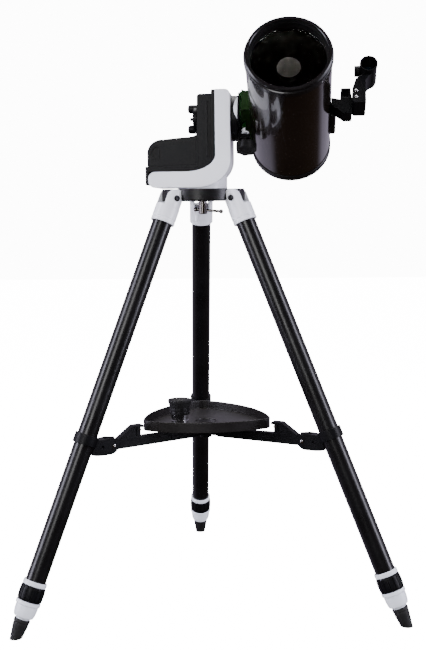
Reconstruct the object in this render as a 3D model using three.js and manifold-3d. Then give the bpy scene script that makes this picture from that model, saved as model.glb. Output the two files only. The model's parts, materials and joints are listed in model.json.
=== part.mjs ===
// A 127 mm class catadioptric telescope on a one-armed, motorised alt-azimuth mount and a field tripod.
// Millimetres, +Z up. The tube looks along -Y and up; the mount's arm stands on its left.
// The model is laid out about the tripod's own axis and moved, at the end, so that the origin
// lies in the middle of its footprint, on the floor.
import * as THREE from 'three';
import { mergeVertices } from 'three/addons/utils/BufferGeometryUtils.js';
import Module from 'manifold-3d';

const wasm = await Module();
wasm.setup();

const DEG = Math.PI / 180;

// ---- Clearances ----
const touch = 0.3; // between faces that rest on each other
const running = 0.4; // round a part that turns or slides
const overlap = 1; // how far a cutter runs past the face it cuts

// ---- Tripod ----
const legLength = 798; // hinge to the middle of the foot's contact, along the leg
const legSpread = 23.4; // degrees from the vertical
const hingeRadius = 66.8; // tripod axis to a leg's hinge
const tripodTurn = 7.83; // degrees the legs are turned under the mount
const legs = [
  { side: 'left', bearing: 210 },
  { side: 'right', bearing: 330 },
  { side: 'rear', bearing: 90 },
];
const hingeHeight = legLength * Math.cos(legSpread * DEG);

// a point on a leg's axis, as distance from the tripod's axis and height
const onLeg = (along) => ({
  x: hingeRadius + along * Math.sin(legSpread * DEG),
  z: hingeHeight - along * Math.cos(legSpread * DEG),
});

// head plate with a lobe for each leg, held between the two ears of the leg's yoke
const headTopAboveHinge = 16.2;
const headThickness = 21;
const headCoreRadius = 62;
const lobeReach = 79; // tripod axis to the end of a lobe
const lobeWidth = 25;
const earRadius = 16; // about the hinge
const headTop = hingeHeight + headTopAboveHinge;
const headBottom = headTop - headThickness;

// bolt that holds the mount, with its sliding cross-bar
const boltRadius = 4.7;
const boltKnobRadius = 7.6;
const boltKnobLength = 23;
const boltThreadLength = 36; // above the head's lower face
const barRadius = 2.4;
const barBallRadius = 3.9;
const barReach = 23; // bar centre to a ball's centre
const barOffset = 10; // how far the bar is pushed through
const barTilt = 5; // degrees, hanging loose in its hole
const barHeight = 16; // below the head's lower face

// leg
const legTubeRadius = 17.6;
const legTubeWall = 1.5;
const tubeTop = 21; // along the leg, from the hinge
const socketTop = 15;
const socketEnd = 46;
const socketRadius = legTubeRadius + 3.8;
const collarToFoot = 100; // collar's upper end to the foot's contact, along the leg
const collarTop = legLength - collarToFoot;
const collarLength = 8;
const collarRadius = legTubeRadius + 3;
const gripLength = 26;
const gripRadius = legTubeRadius + 4.4;
const gripRibs = 14;
const gripRibDepth = 1.1;
const lowerTubeRadius = legTubeRadius - 3;
const lowerTubeWall = 1.5;
const lowerTubeLength = 432;
const cupLength = 38;
const cupRimRadius = lowerTubeRadius + 6.6;
const cupRadius = lowerTubeRadius + 4.8;
const neckRadius = 11.5;
const neckLength = 10;
const tipRadius = 12.6;
const tipEndRadius = 8.5;
const tipSocketDepth = 7;
const footRoom = 60; // how far round and below a foot the floor's cutter runs

// leg band with its lug, and the spreader
const bandAt = 447; // along the leg
const bandHeight = 18;
const bandWall = 3.2;
const lugReach = 49.3; // middle of the band inward to the arm's pivot
const lugDrop = 15.6; // and down to it
const lugRadius = 15;
const lugHeel = 10; // pivot inward to the lug's end
const lugShoulder = 12; // pivot up to the lug's inner corner
const lugSecondHole = 22; // pivot outward to the spare hole
const lugRise = 22; // pivot up to the lug's root on the band
const cheekThickness = 3;
const pinRadius = 2.6;
const armWidth = 14;
const armHeight = 18;
const armInnerHeight = 16;
const armInnerRadius = 26;
const armEndRadius = 8.5;
const forkSlot = 7.6;
const forkDepth = 44;
const humpStart = 134; // tripod axis to the hook's tip
const humpPeakEnd = 154;
const humpFoot = 184;
const humpHeight = 30; // above the pivot
const hookDepth = 5;
const hookThroat = 6;
const hubCoreRadius = 10.5;
const hubEarReach = 38;
const hubEarWidth = 6.6;
const hubCapRadius = 17.8;

// tray
const trayOverPivot = 16.5; // arm's pivot up to the tray's underside
const trayHeight = 18;
const trayWall = 2.5;
const trayFloor = 3;
const trayCornerReach = 127.5;
const trayCornerRadius = 22;
const traySideReach = 97;
const trayHoleRadius = 18.6;

// spare eyepiece standing in the tray
const spareX = -44;
const spareY = -30;
const spareBarrelLength = 18;

// ---- Mount ----
const baseRadius = 44.5;
const baseHeight = 27;
const mountDepth = 96; // front to back
const shellLeft = -94;
const shellRight = 54;
const armThickness = 28; // lower, horizontal part of the shell
const shellBottomGap = 2.6; // over the tripod head
const shellHeight = 169;
const altitudeDrop = 47.6; // top of the shell down to the altitude axis
const bandThickness = 26.4; // upright part of the shell
const outerCornerX = 60;
const outerCornerZ = 49;
const innerCornerX = 52;
const innerCornerZ = 29;
const shellRounding = 8;
const armEndRounding = 12;
const shellWall = 4.5;
const shellRoof = 7.6;
const pocketDrop = 56; // altitude axis down to the floor of the shell's pocket
const rimThickness = 6; // the housing's rim inside the shell
const borderHeight = 9;
const blockWidth = 32; // upper black block, with its rim
const blockTopDrop = 7.5;
const housingWall = 3.5;
const housingPocketDrop = 50; // altitude axis down to the floor of the housing's pocket
const housingInset = 1.5; // the housing is this much narrower than the shell at each face
const stripThickness = 2;
const doorWall = 2.5;
const doorInset = 1.6; // shell's left end to the door
const doorFall = 9; // from the door's right corner to its left one
const doorKnobRoom = 2.5; // under the clutch knob
const holderInset = 14; // shell's left end to the battery holder
const holderRoom = 12; // holder to the upper block
const holderEndRoom = 7.5; // holder to the door's front and back
const holderSplit = 1.6; // between its two rows of cells
const holderWall = 4;
const shaftRadius = 8;
const wheelRadius = 34;
const wheelThickness = 8;
const wheelAt = 38;
const clutchRadius = 25.5; // to the end of a finger grip
const clutchBaseRadius = 21;
const clutchBaseThickness = 7.4;
const clutchGripRadius = 7.6;
const clutchGripLength = 17.6; // from the knob's back
const clutchNeckRadius = 8;
const clutchNeckLength = 1.6;
const clutchNubRadius = 2.8;
const clutchNubLength = 13.5; // from the knob's back
const clutchGap = 2.5;
const hubRadius = 40;
const hubThickness = 12.4;

// ---- Saddle and dovetail ----
const saddlePlate = 6.4;
const saddleLength = 90;
const saddleHalfWidth = 31;
const dovetailHalfWidth = 22;
const dovetailNeck = 19;
const dovetailSlope = 6;
const dovetailLength = 140;
const dovetailForward = -10; // middle of the bar, ahead of the altitude axis
const jawLength = 40;
const clampScrewOut = 13.3; // saddle's inner face to the clamp screw
const screwLugAt = 38;
const screwLugThickness = 8;
const screwLugWidth = 22;
const clampScrewRadius = 3;
const knobRadius = 18.6;
const knobLobe = 2.2;
const knobLobes = 7;
const knobThickness = 14;
const knobAt = 59;

// ---- Telescope; places along the tube are measured forward of the altitude axis ----
const tubeElevation = 27.17; // degrees
const tubeRadius = 71;
const dovetailHeight = 12.95; // dovetail's inner face to the tube
const tubeWall = 1.5;
const frontRim = 193.5;
const rearFace = -102.3;
const frontCellLength = 16;
const lipLength = 6;
const lipRadius = tubeRadius - 0.2;
const frontCellRadius = tubeRadius + 2;
const spigotLength = 18;
const apertureRadius = tubeRadius - 8.5;
const correctorRadius = tubeRadius - 5;
const correctorEdge = 10;
const correctorRecess = 22.7; // front rim to the corrector's seat
const correctorCurve = 230; // radius of its two faces
const spotRadius = 19.6;
const spotThickness = 1.2;
const rearCellRadius = tubeRadius + 1.4;
const rearCellLength = 18;
const rearPlate = 7;
const baffleRadius = 18.5;
const baffleWall = 1.5;
const baffleLength = 150;
const mirrorRadius = tubeRadius - 7;
const mirrorThickness = 14;
const mirrorAt = -52;
const mirrorHoleRadius = 21;
const mirrorCurve = 620;
const visualBackRadius = 22.5;
const visualBackLength = 18;
const barrelRadius = 15.9; // the usual 31.75 mm push fit
const focusKnobRadius = 12.5;
const focusKnobLength = 22;
const focusOffset = tubeRadius - 26; // optical axis to the focus knob
const focusBearing = -45; // degrees from the tube's right side, upward
const focusScrewRadius = 3;

// star diagonal and eyepiece
const diagonalStart = 20; // behind the rear face
const diagonalLength = 40;
const diagonalHalfWidth = 19;
const diagonalSocketRadius = 20;
const diagonalSocketTop = 42;
const diagonalBoreDepth = 30;
const eyepieceBarrelLength = 26;
const eyepieceBodyRadius = 18.5;
const eyepieceCupRadius = 21.5;
const eyepieceBodyLength = 27;

// finder
const finderShoeLength = 58;
const finderShoeWidth = 26;
const finderShoeHeight = 9;
const finderShoeAt = -8;
const finderArmAt = 45;
const finderArmLength = 28;
const finderBodyAt = 62;
const finderBodyLength = 44;
const bracketReach = 35; // tube's side to the face that carries the finder
const bracketDrop = 30; // foot of the bracket, below the optical axis
const bracketTop = 20;
const finderWidth = 23;
const finderDrop = 25; // foot of the finder, below the optical axis
const finderRingOut = 28; // bracket's face to the middle of the ring
const finderRingUp = 45;
const finderRingRadius = 14.6;
const finderRingWall = 2;
const finderRingLength = 45;
const finderRingAt = 72;

// ---- Facets: pieces on one axis share a count, so that they nest without touching ----
const tubeSides = 32;
const baseSides = 32;
const legSides = 16;
const barrelSides = 20;
const boreSides = 16;
const lobeSteps = 4;

// ---- Finishes ----
const finish = (color, roughness, metalness) =>
  new THREE.MeshStandardMaterial({ color, roughness, metalness });
const blackPaint = finish(0x17130f, 0.25, 0.4);
const blackMetal = finish(0x141216, 0.4, 0.6);
const blackPlastic = finish(0x17171b, 0.55, 0);
const whitePlastic = finish(0xe9ebef, 0.4, 0);
const greenMetal = finish(0x3f9a2f, 0.35, 0.7);
const steel = finish(0xc9cacc, 0.25, 1);
const brass = finish(0xb08d3c, 0.35, 1);
const rubber = finish(0x19191b, 0.85, 0);
const opticalGlass = finish(0x1c2420, 0.05, 0);
const mirrorCoat = finish(0xdfe2e4, 0.05, 1);

// ---- Making and cutting solids ----
const closedMesh = (geometry) => {
  const bare = geometry.clone();
  bare.deleteAttribute('normal');
  bare.deleteAttribute('uv');
  const merged = mergeVertices(bare, 1e-4);
  const kept = [];
  const corners = merged.index.array;
  for (let i = 0; i < corners.length; i += 3) {
    const [a, b, c] = corners.slice(i, i + 3);
    if (a !== b && b !== c && c !== a) kept.push(a, b, c);
  }
  merged.setIndex(kept);
  return merged;
};

const solid = (geometry) => {
  const closed = closedMesh(geometry);
  const mesh = new wasm.Mesh({
    numProp: 3,
    vertProperties: new Float32Array(closed.attributes.position.array),
    triVerts: new Uint32Array(closed.index.array),
  });
  return new wasm.Manifold(mesh);
};

const geometryOf = (manifold) => {
  const mesh = manifold.getMesh();
  const geometry = new THREE.BufferGeometry();
  geometry.setAttribute('position', new THREE.BufferAttribute(mesh.vertProperties, 3));
  geometry.setIndex(new THREE.BufferAttribute(mesh.triVerts, 1));
  return geometry;
};

const join = (first, ...rest) =>
  geometryOf(rest.reduce((whole, part) => whole.add(solid(part)), solid(first)));

const cut = (first, ...rest) =>
  geometryOf(rest.reduce((whole, part) => whole.subtract(solid(part)), solid(first)));

// ---- Plain shapes ----
const block = (x0, x1, y0, y1, z0, z1) =>
  new THREE.BoxGeometry(x1 - x0, y1 - y0, z1 - z0)
    .translate((x0 + x1) / 2, (y0 + y1) / 2, (z0 + z1) / 2);

// a profile of [radius, height] points turned about the Y axis; a ring's profile closes on itself
const turned = (profile, sides) => {
  const area = profile.reduce((sum, [r, h], i) => {
    const [nextR, nextH] = profile[(i + 1) % profile.length];
    return sum + r * nextH - nextR * h;
  }, 0);
  const ordered = area > 0 ? profile : [...profile].reverse();
  const onAxis = ordered.filter(([r]) => r === 0).length > 1;
  const points = ordered.map(([r, h]) => new THREE.Vector2(r, h));
  if (onAxis) {
    while (points[0].x !== 0 || points[points.length - 1].x !== 0) points.push(points.shift());
  } else {
    points.push(points[0].clone());
  }
  return new THREE.LatheGeometry(points, sides);
};

const alongZ = (geometry) => geometry.rotateX(90 * DEG);
const alongX = (geometry) => geometry.rotateZ(-90 * DEG);

const rod = (radius, from, to, sides) =>
  turned([[0, from], [radius, from], [radius, to], [0, to]], sides);

const ring = (outer, inner, from, to, sides) =>
  turned([[inner, from], [outer, from], [outer, to], [inner, to]], sides);

// an outline of x and z points, given a thickness across Y and centred on Y = 0
const plate = (shape, thickness, curveSegments) =>
  new THREE.ExtrudeGeometry(shape, { depth: thickness, bevelEnabled: false, curveSegments })
    .translate(0, 0, -thickness / 2)
    .rotateX(90 * DEG);

const outline = (points) => new THREE.Shape(points.map(([x, z]) => new THREE.Vector2(x, z)));

// a round, lobed outline
const lobed = (radius, depth, lobes) => {
  const steps = lobes * lobeSteps;
  const points = Array.from({ length: steps }, (_, i) => {
    const turn = (i / steps) * 2 * Math.PI;
    const r = radius - depth * (0.5 - 0.5 * Math.cos(lobes * turn));
    return new THREE.Vector2(r * Math.cos(turn), r * Math.sin(turn));
  });
  return new THREE.Shape(points);
};

const extruded = (shape, from, to, curveSegments = 8) =>
  new THREE.ExtrudeGeometry(shape, { depth: to - from, bevelEnabled: false, curveSegments })
    .translate(0, 0, from);

const model = new THREE.Group();

const add = (parent, name, geometry, material) => {
  const mesh = new THREE.Mesh(closedMesh(geometry), material);
  mesh.name = name;
  parent.add(mesh);
  return mesh;
};

// ---- Tripod head, bolt and cross-bar ----
const addTripodHead = () => {
  let head = alongZ(rod(headCoreRadius, headBottom, headTop, baseSides));
  const halfRoom = socketRadius + running;
  for (const { bearing } of legs) {
    const turn = (bearing + tripodTurn) * DEG;
    const earRoom = block(
      hingeRadius - earRadius - running, lobeReach + overlap, -halfRoom, halfRoom,
      headBottom - overlap, headTop + overlap,
    );
    const lobe = block(0, lobeReach, -lobeWidth / 2, lobeWidth / 2, headBottom, headTop);
    head = join(cut(head, earRoom.rotateZ(turn)), lobe.rotateZ(turn));
  }
  const bore = alongZ(rod(boltRadius + running, headBottom - overlap, headTop + overlap, boreSides));
  add(model, 'tripod_head', cut(head, bore), blackMetal);
};

const barPivotHeight = headBottom - barHeight;

const addMountingBolt = () => {
  const knobTop = headBottom - touch;
  const bolt = turned([
    [0, knobTop - boltKnobLength],
    [boltKnobRadius, knobTop - boltKnobLength],
    [boltKnobRadius, knobTop],
    [boltRadius, knobTop],
    [boltRadius, headBottom + boltThreadLength],
    [0, headBottom + boltThreadLength],
  ], boreSides);
  const barHole = alongX(rod(barRadius + running, -boltKnobRadius * 2, boltKnobRadius * 2, boreSides));
  barHole.rotateY(barTilt * DEG).translate(0, 0, barPivotHeight);
  add(model, 'mounting_bolt', cut(alongZ(bolt), barHole), steel);

  const steps = 3;
  const ballAt = (centre, side) => Array.from({ length: steps }, (_, i) => {
    const start = Math.asin(barRadius / barBallRadius);
    const turn = start + ((i + 1) / steps) * (Math.PI - start);
    return [barBallRadius * Math.sin(turn), centre - side * barBallRadius * Math.cos(turn)];
  });
  const lower = ballAt(-barReach, -1).map(([r, h]) => [Math.max(r, 0), h]).reverse();
  const upper = ballAt(barReach, 1).map(([r, h]) => [Math.max(r, 0), h]);
  lower[0][0] = 0;
  upper[upper.length - 1][0] = 0;
  const neck = Math.sqrt(barBallRadius ** 2 - barRadius ** 2);
  const profile = [
    ...lower,
    [barRadius, -barReach + neck],
    [barRadius, barReach - neck],
    ...upper,
  ];
  const bar = alongX(turned(profile, 10).translate(0, barOffset, 0));
  bar.rotateY(barTilt * DEG).translate(0, 0, barPivotHeight);
  add(model, 'bolt_bar', bar, steel);
};

// ---- One leg; its frame starts at the hinge and the leg runs along -Z ----
const yoke = () => {
  const reach = socketRadius + overlap;
  const noses = alongZ(rod(earRadius, -reach, reach, tubeSides)).rotateX(90 * DEG);
  const necks = block(-earRadius, earRadius, -reach, reach, -socketTop - overlap, 0);
  const round = alongZ(ring(2 * socketRadius, socketRadius, -socketEnd, reach, legSides));
  const ears = cut(join(noses, necks), round);
  const socket = alongZ(rod(socketRadius, -socketEnd, -socketTop, legSides));
  const halfSlot = lobeWidth / 2 + running;
  const slot = block(-reach, reach, -halfSlot, halfSlot, -socketTop, reach);
  const bore = alongZ(rod(legTubeRadius + touch, -socketEnd - overlap, -tubeTop + touch, legSides));
  return cut(join(ears, socket), slot, bore);
};

const legTube = () => {
  const inner = legTubeRadius - legTubeWall;
  return alongZ(ring(legTubeRadius, inner, -collarTop - collarLength, -tubeTop, legSides));
};

const legCollar = () =>
  alongZ(ring(collarRadius, legTubeRadius + touch, -collarTop - collarLength, -collarTop, legSides));

const gripTop = collarTop + collarLength + touch;
const gripEnd = gripTop + gripLength;

const legGrip = () => {
  const body = extruded(lobed(gripRadius, gripRibDepth, gripRibs), -gripEnd, -gripTop);
  const bore = rod(lowerTubeRadius + running, -gripEnd - overlap, -gripTop + overlap, legSides);
  return cut(body, alongZ(bore));
};

const cupTop = gripEnd + touch;
const cupEnd = cupTop + cupLength;

const lowerTube = () => {
  const inner = lowerTubeRadius - lowerTubeWall;
  const end = -cupTop - cupLength / 2;
  return alongZ(ring(lowerTubeRadius, inner, end, end + lowerTubeLength, legSides));
};

const footCup = () => {
  const bore = lowerTubeRadius + touch;
  const boreEnd = -cupTop - cupLength / 2 - touch;
  return alongZ(turned([
    [0, -cupEnd],
    [neckRadius, -cupEnd],
    [neckRadius, -cupEnd + neckLength],
    [cupRadius - 3, -cupEnd + neckLength + 4],
    [cupRadius, -cupTop - 8],
    [cupRimRadius, -cupTop - 7],
    [cupRimRadius, -cupTop],
    [bore, -cupTop],
    [bore, boreEnd],
    [0, boreEnd],
  ], legSides));
};

const footTip = (legFromFloor) => {
  const tipTop = -cupEnd + tipSocketDepth;
  const body = alongZ(turned([
    [0, -legLength - tipRadius],
    [tipEndRadius, -legLength - tipRadius],
    [tipRadius + 1.5, tipTop],
    [neckRadius + touch, tipTop],
    [neckRadius + touch, -cupEnd - touch],
    [0, -cupEnd - touch],
  ], legSides));
  const reach = hingeRadius + legLength;
  const below = block(0, reach, -footRoom, footRoom, -footRoom, 0).applyMatrix4(legFromFloor);
  return cut(body, below);
};

const band = onLeg(bandAt);
const lugPivotRadius = band.x - lugReach;
const lugPivotHeight = band.z - lugDrop;
const lugOuterRadius = lugPivotRadius + lugSecondHole;

const lugOutline = () => {
  const shape = new THREE.Shape();
  const left = lugPivotRadius - lugHeel;
  const foot = lugPivotHeight - lugRadius;
  shape.moveTo(left, lugPivotHeight + lugShoulder);
  shape.lineTo(left, lugPivotHeight - 4);
  shape.quadraticCurveTo(left + 4, foot, left + 18, foot);
  shape.lineTo(lugOuterRadius, foot);
  shape.lineTo(band.x, lugPivotHeight + 4);
  shape.lineTo(band.x, lugPivotHeight + lugRise);
  shape.lineTo(lugOuterRadius, lugPivotHeight + lugShoulder + 2);
  return shape;
};

const legBand = (legFromFloor) => {
  const low = -bandAt - bandHeight / 2;
  const high = -bandAt + bandHeight / 2;
  const outer = legTubeRadius + touch + bandWall;
  const lug = plate(lugOutline(), armWidth + 2 * (cheekThickness + running), 4);
  const halfSlot = armWidth / 2 + running;
  const slot = block(
    0, lugOuterRadius - 6, -halfSlot, halfSlot, lugPivotHeight - lugReach, lugPivotHeight + lugReach,
  );
  const secondHole = alongZ(rod(pinRadius, -armWidth, armWidth, 8)).rotateX(90 * DEG);
  secondHole.translate(lugOuterRadius, 0, lugPivotHeight);
  const cheeks = cut(lug, slot, secondHole).applyMatrix4(legFromFloor);
  const hoop = alongZ(rod(outer, low, high, legSides));
  const bore = alongZ(rod(legTubeRadius + touch, low - lugReach, high + lugReach, legSides));
  return cut(join(cheeks, hoop), bore);
};

const addLeg = ({ side, bearing }) => {
  const turn = new THREE.Group();
  turn.rotation.z = (bearing + tripodTurn) * DEG;
  model.add(turn);
  const leg = new THREE.Group();
  leg.position.set(hingeRadius, 0, hingeHeight);
  leg.rotation.y = -legSpread * DEG;
  turn.add(leg);
  leg.updateMatrix();
  const legFromFloor = leg.matrix.clone().invert();
  add(leg, `${side}_leg_yoke`, yoke(), whitePlastic);
  add(leg, `${side}_leg_tube`, legTube(), blackMetal);
  add(leg, `${side}_leg_collar`, legCollar(), whitePlastic);
  add(leg, `${side}_leg_lock`, legGrip(), blackPlastic);
  add(leg, `${side}_lower_tube`, lowerTube(), blackMetal);
  add(leg, `${side}_foot_cup`, footCup(), whitePlastic);
  add(leg, `${side}_foot_tip`, footTip(legFromFloor), rubber);
  add(leg, `${side}_leg_band`, legBand(legFromFloor), blackPlastic);
  add(turn, `${side}_spreader_arm`, spreaderArm(), blackPlastic);
};

// ---- Spreader arm, seen in the upright plane through its leg ----
const spreaderArm = () => {
  const top = lugPivotHeight + armHeight / 2 + 0.5;
  const innerTop = lugPivotHeight + armInnerHeight / 2 + 1;
  const innerBottom = lugPivotHeight - armInnerHeight / 2 + 1;
  const peak = lugPivotHeight + humpHeight;
  const shape = new THREE.Shape();
  shape.moveTo(armInnerRadius, innerTop);
  shape.lineTo(armInnerRadius, innerBottom);
  shape.lineTo(lugPivotRadius, lugPivotHeight - armEndRadius);
  shape.absarc(lugPivotRadius, lugPivotHeight, armEndRadius, -90 * DEG, 70 * DEG, false);
  shape.lineTo(humpFoot, top);
  shape.lineTo(humpPeakEnd, peak);
  shape.lineTo(humpStart + 2, peak);
  shape.lineTo(humpStart, peak - 2);
  shape.lineTo(humpStart, peak - hookDepth);
  shape.lineTo(humpStart + hookThroat, peak - hookDepth);
  shape.lineTo(humpStart + hookThroat, top);
  const fork = block(
    0, armInnerRadius + forkDepth, -forkSlot / 2, forkSlot / 2, innerBottom - 10, top + 10,
  );
  return cut(plate(shape, armWidth, 5), fork);
};

const trayFloorUnderside = lugPivotHeight + trayOverPivot;

const addSpreaderHub = () => {
  const low = lugPivotHeight - armInnerHeight / 2;
  const high = lugPivotHeight + armInnerHeight / 2;
  const floorTop = trayFloorUnderside + trayFloor;
  let hub = alongZ(turned([
    [0, low - 2],
    [hubCoreRadius, low - 2],
    [hubCoreRadius, trayFloorUnderside + touch],
    [hubCapRadius, trayFloorUnderside + touch],
    [hubCapRadius, floorTop - 0.6],
    [0, floorTop - 0.6],
  ], boreSides));
  for (const { bearing } of legs) {
    const ear = block(0, hubEarReach, -hubEarWidth / 2, hubEarWidth / 2, low + 2, high - 2);
    hub = join(hub, ear.rotateZ((bearing + tripodTurn) * DEG));
  }
  add(model, 'spreader_hub', hub, blackPlastic);
};

// a triangle with bowed sides and round corners that point at the legs
const trayOutline = (inset) => {
  const cornerCentre = trayCornerReach - trayCornerRadius;
  const cornerRadius = trayCornerRadius - inset;
  const side = traySideReach - trayCornerRadius;
  const back = (cornerCentre ** 2 - side ** 2) / (2 * side - cornerCentre);
  const sideRadius = side + back + cornerRadius;
  const sideTurn = Math.atan2(
    cornerCentre * Math.sin(60 * DEG), cornerCentre * Math.cos(60 * DEG) + back,
  );
  const shape = new THREE.Shape();
  for (const { bearing } of [legs[2], legs[0], legs[1]]) {
    const corner = (bearing + tripodTurn) * DEG;
    const middle = corner + 60 * DEG;
    shape.absarc(
      cornerCentre * Math.cos(corner), cornerCentre * Math.sin(corner), cornerRadius,
      middle - 120 * DEG + sideTurn, middle - sideTurn, false,
    );
    shape.absarc(
      -back * Math.cos(middle), -back * Math.sin(middle), sideRadius,
      middle - sideTurn, middle + sideTurn, false,
    );
  }
  return shape;
};

const addTray = () => {
  const top = trayFloorUnderside + trayHeight;
  const floorTop = trayFloorUnderside + trayFloor;
  const tray = extruded(trayOutline(0), trayFloorUnderside, top, 4);
  const well = extruded(trayOutline(trayWall), floorTop, top + overlap, 4);
  const hole = alongZ(rod(trayHoleRadius, trayFloorUnderside - 5, top, barrelSides));
  add(model, 'tray', cut(tray, well, hole), blackPlastic);
};

// ---- Eyepiece, standing on the end of its barrel at the origin, +Z up ----
const eyepieceBarrel = (length) => alongZ(rod(barrelRadius, 0, length, barrelSides));

const eyepieceBody = (from) => {
  const top = from + eyepieceBodyLength;
  return alongZ(turned([
    [0, from],
    [eyepieceBodyRadius, from],
    [eyepieceBodyRadius, top - 14],
    [eyepieceCupRadius, top - 4],
    [eyepieceCupRadius, top],
    [eyepieceBodyRadius - 4, top],
    [9, top - 7],
    [0, top - 7],
  ], barrelSides));
};

const addSpareEyepiece = () => {
  const stand = new THREE.Group();
  stand.position.set(spareX, spareY, trayFloorUnderside + trayFloor + touch);
  model.add(stand);
  const spare = join(eyepieceBarrel(spareBarrelLength + 1), eyepieceBody(spareBarrelLength));
  add(stand, 'spare_eyepiece', spare, blackPlastic);
};

// ---- Mount ----
const baseBottom = headTop + touch;
const baseTop = baseBottom + baseHeight;
const shellBottom = headTop + shellBottomGap;
const shellArmTop = shellBottom + armThickness;
const shellTop = shellBottom + shellHeight;
const altitudeZ = shellTop - altitudeDrop;
const bandLeft = shellRight - bandThickness;
const rimLeft = bandLeft - touch - rimThickness;
const blockLeft = bandLeft - blockWidth;
const blockTop = shellTop - blockTopDrop;
const borderTop = shellArmTop + touch + borderHeight;
const doorBottom = borderTop + touch;
const doorTopRight = altitudeZ - clutchRadius - doorKnobRoom;
const doorTopLeft = doorTopRight - doorFall;
const doorShoulder = (doorBottom + doorTopLeft) / 2;

const addAzimuthBase = () => {
  const boltBore = boltRadius + running;
  const boltEnd = headBottom + boltThreadLength + touch;
  const base = turned([
    [boltBore, baseBottom],
    [baseRadius, baseBottom],
    [baseRadius, baseTop - 1],
    [baseRadius - 1, baseTop],
    [0, baseTop],
    [0, boltEnd],
    [boltBore, boltEnd],
  ], baseSides);
  add(model, 'azimuth_base', alongZ(base), whitePlastic);
};

const shellOutline = () => {
  const shape = new THREE.Shape();
  const right = shellRight;
  shape.moveTo(shellLeft + armEndRounding, shellBottom);
  shape.lineTo(right - outerCornerX, shellBottom);
  shape.absellipse(
    right - outerCornerX, shellBottom + outerCornerZ, outerCornerX, outerCornerZ, -90 * DEG, 0, false,
  );
  shape.absarc(right - shellRounding, shellTop - shellRounding, shellRounding, 0, 90 * DEG, false);
  shape.lineTo(bandLeft, shellTop);
  shape.absellipse(
    bandLeft - innerCornerX, shellArmTop + innerCornerZ, innerCornerX, innerCornerZ, 0, -90 * DEG, true,
  );
  shape.lineTo(shellLeft + armEndRounding, shellArmTop);
  shape.absarc(
    shellLeft + armEndRounding, shellArmTop - armEndRounding, armEndRounding, 90 * DEG, 180 * DEG, false,
  );
  shape.absarc(
    shellLeft + armEndRounding, shellBottom + armEndRounding, armEndRounding, 180 * DEG, 270 * DEG, false,
  );
  return shape;
};

const shaftBore = () =>
  alongX(rod(shaftRadius + running, blockLeft - 20, shellRight + 20, boreSides)).translate(0, 0, altitudeZ);

const addMountShell = () => {
  const halfDepth = mountDepth / 2;
  const seat = alongZ(rod(baseRadius + running, shellBottom - overlap, baseTop + touch, baseSides));
  const pocket = block(
    bandLeft - overlap, shellRight - shellWall, -halfDepth + shellWall, halfDepth - shellWall,
    altitudeZ - pocketDrop, shellTop - shellRoof,
  );
  const shell = plate(shellOutline(), mountDepth, 5);
  add(model, 'mount_shell', cut(shell, seat, pocket, shaftBore()), whitePlastic);
};

const housingOutline = () => {
  const shape = new THREE.Shape();
  const right = bandLeft - touch;
  const bottom = shellArmTop + touch;
  const stripRight = shellLeft - touch;
  shape.moveTo(right, shellTop - touch);
  shape.lineTo(rimLeft, shellTop - touch);
  shape.lineTo(rimLeft - 1.5, blockTop);
  shape.lineTo(blockLeft + 5, blockTop);
  shape.quadraticCurveTo(blockLeft + 1, blockTop, blockLeft + 0.5, blockTop - 8);
  shape.lineTo(blockLeft, altitudeZ - 22);
  shape.lineTo(blockLeft, borderTop);
  shape.lineTo(stripRight - stripThickness, borderTop);
  shape.lineTo(stripRight - stripThickness, shellBottom + 5);
  shape.lineTo(stripRight, shellBottom + 5);
  shape.lineTo(stripRight, bottom);
  shape.lineTo(bandLeft - innerCornerX, bottom);
  shape.absellipse(
    bandLeft - innerCornerX, shellArmTop + innerCornerZ, innerCornerX - touch, innerCornerZ - touch,
    -90 * DEG, 0, false,
  );
  return shape;
};

const housingDepth = mountDepth - 2 * housingInset;

const addHousing = () => {
  const halfDepth = housingDepth / 2 - housingWall;
  const pocket = block(
    blockLeft + housingWall, bandLeft + overlap, -halfDepth, halfDepth,
    altitudeZ - housingPocketDrop, blockTop - housingWall,
  );
  const housing = plate(housingOutline(), housingDepth, 5);
  add(model, 'mount_housing', cut(housing, pocket, shaftBore()), blackPlastic);
};

const doorOutline = (inset) => {
  const right = blockLeft - touch;
  const left = shellLeft + doorInset + inset;
  const shape = new THREE.Shape();
  shape.moveTo(left, doorBottom);
  shape.lineTo(right, doorBottom);
  shape.lineTo(right, doorTopRight - inset);
  shape.quadraticCurveTo(right - 9, doorTopLeft + 4 - inset, right - 32, doorTopLeft + 3 - inset);
  shape.lineTo(left + 28, doorTopLeft - inset);
  shape.quadraticCurveTo(left + 4, doorTopLeft - 5 - inset, left, doorShoulder);
  return shape;
};

const addBatteryDoor = () => {
  const cavity = plate(doorOutline(doorWall), housingDepth - 2 * doorWall, 5);
  const below = cavity.clone().translate(0, 0, -doorWall);
  const beside = cavity.clone().translate(doorWall, 0, 0);
  const door = plate(doorOutline(0), housingDepth, 5);
  add(model, 'battery_door', cut(door, cavity, below, beside), blackPlastic);
  const holderLeft = shellLeft + holderInset;
  const holderRight = blockLeft - holderRoom;
  const halfDepth = housingDepth / 2 - holderEndRoom;
  const holderTop = doorShoulder - doorWall - touch;
  const holder = block(holderLeft, holderRight, -halfDepth, halfDepth, doorBottom, holderTop);
  const split = block(
    holderLeft + holderWall, holderRight - holderWall, -holderSplit / 2, holderSplit / 2,
    doorBottom + holderWall, holderTop + overlap,
  );
  add(model, 'battery_holder', cut(holder, split), blackPlastic);
};

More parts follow.
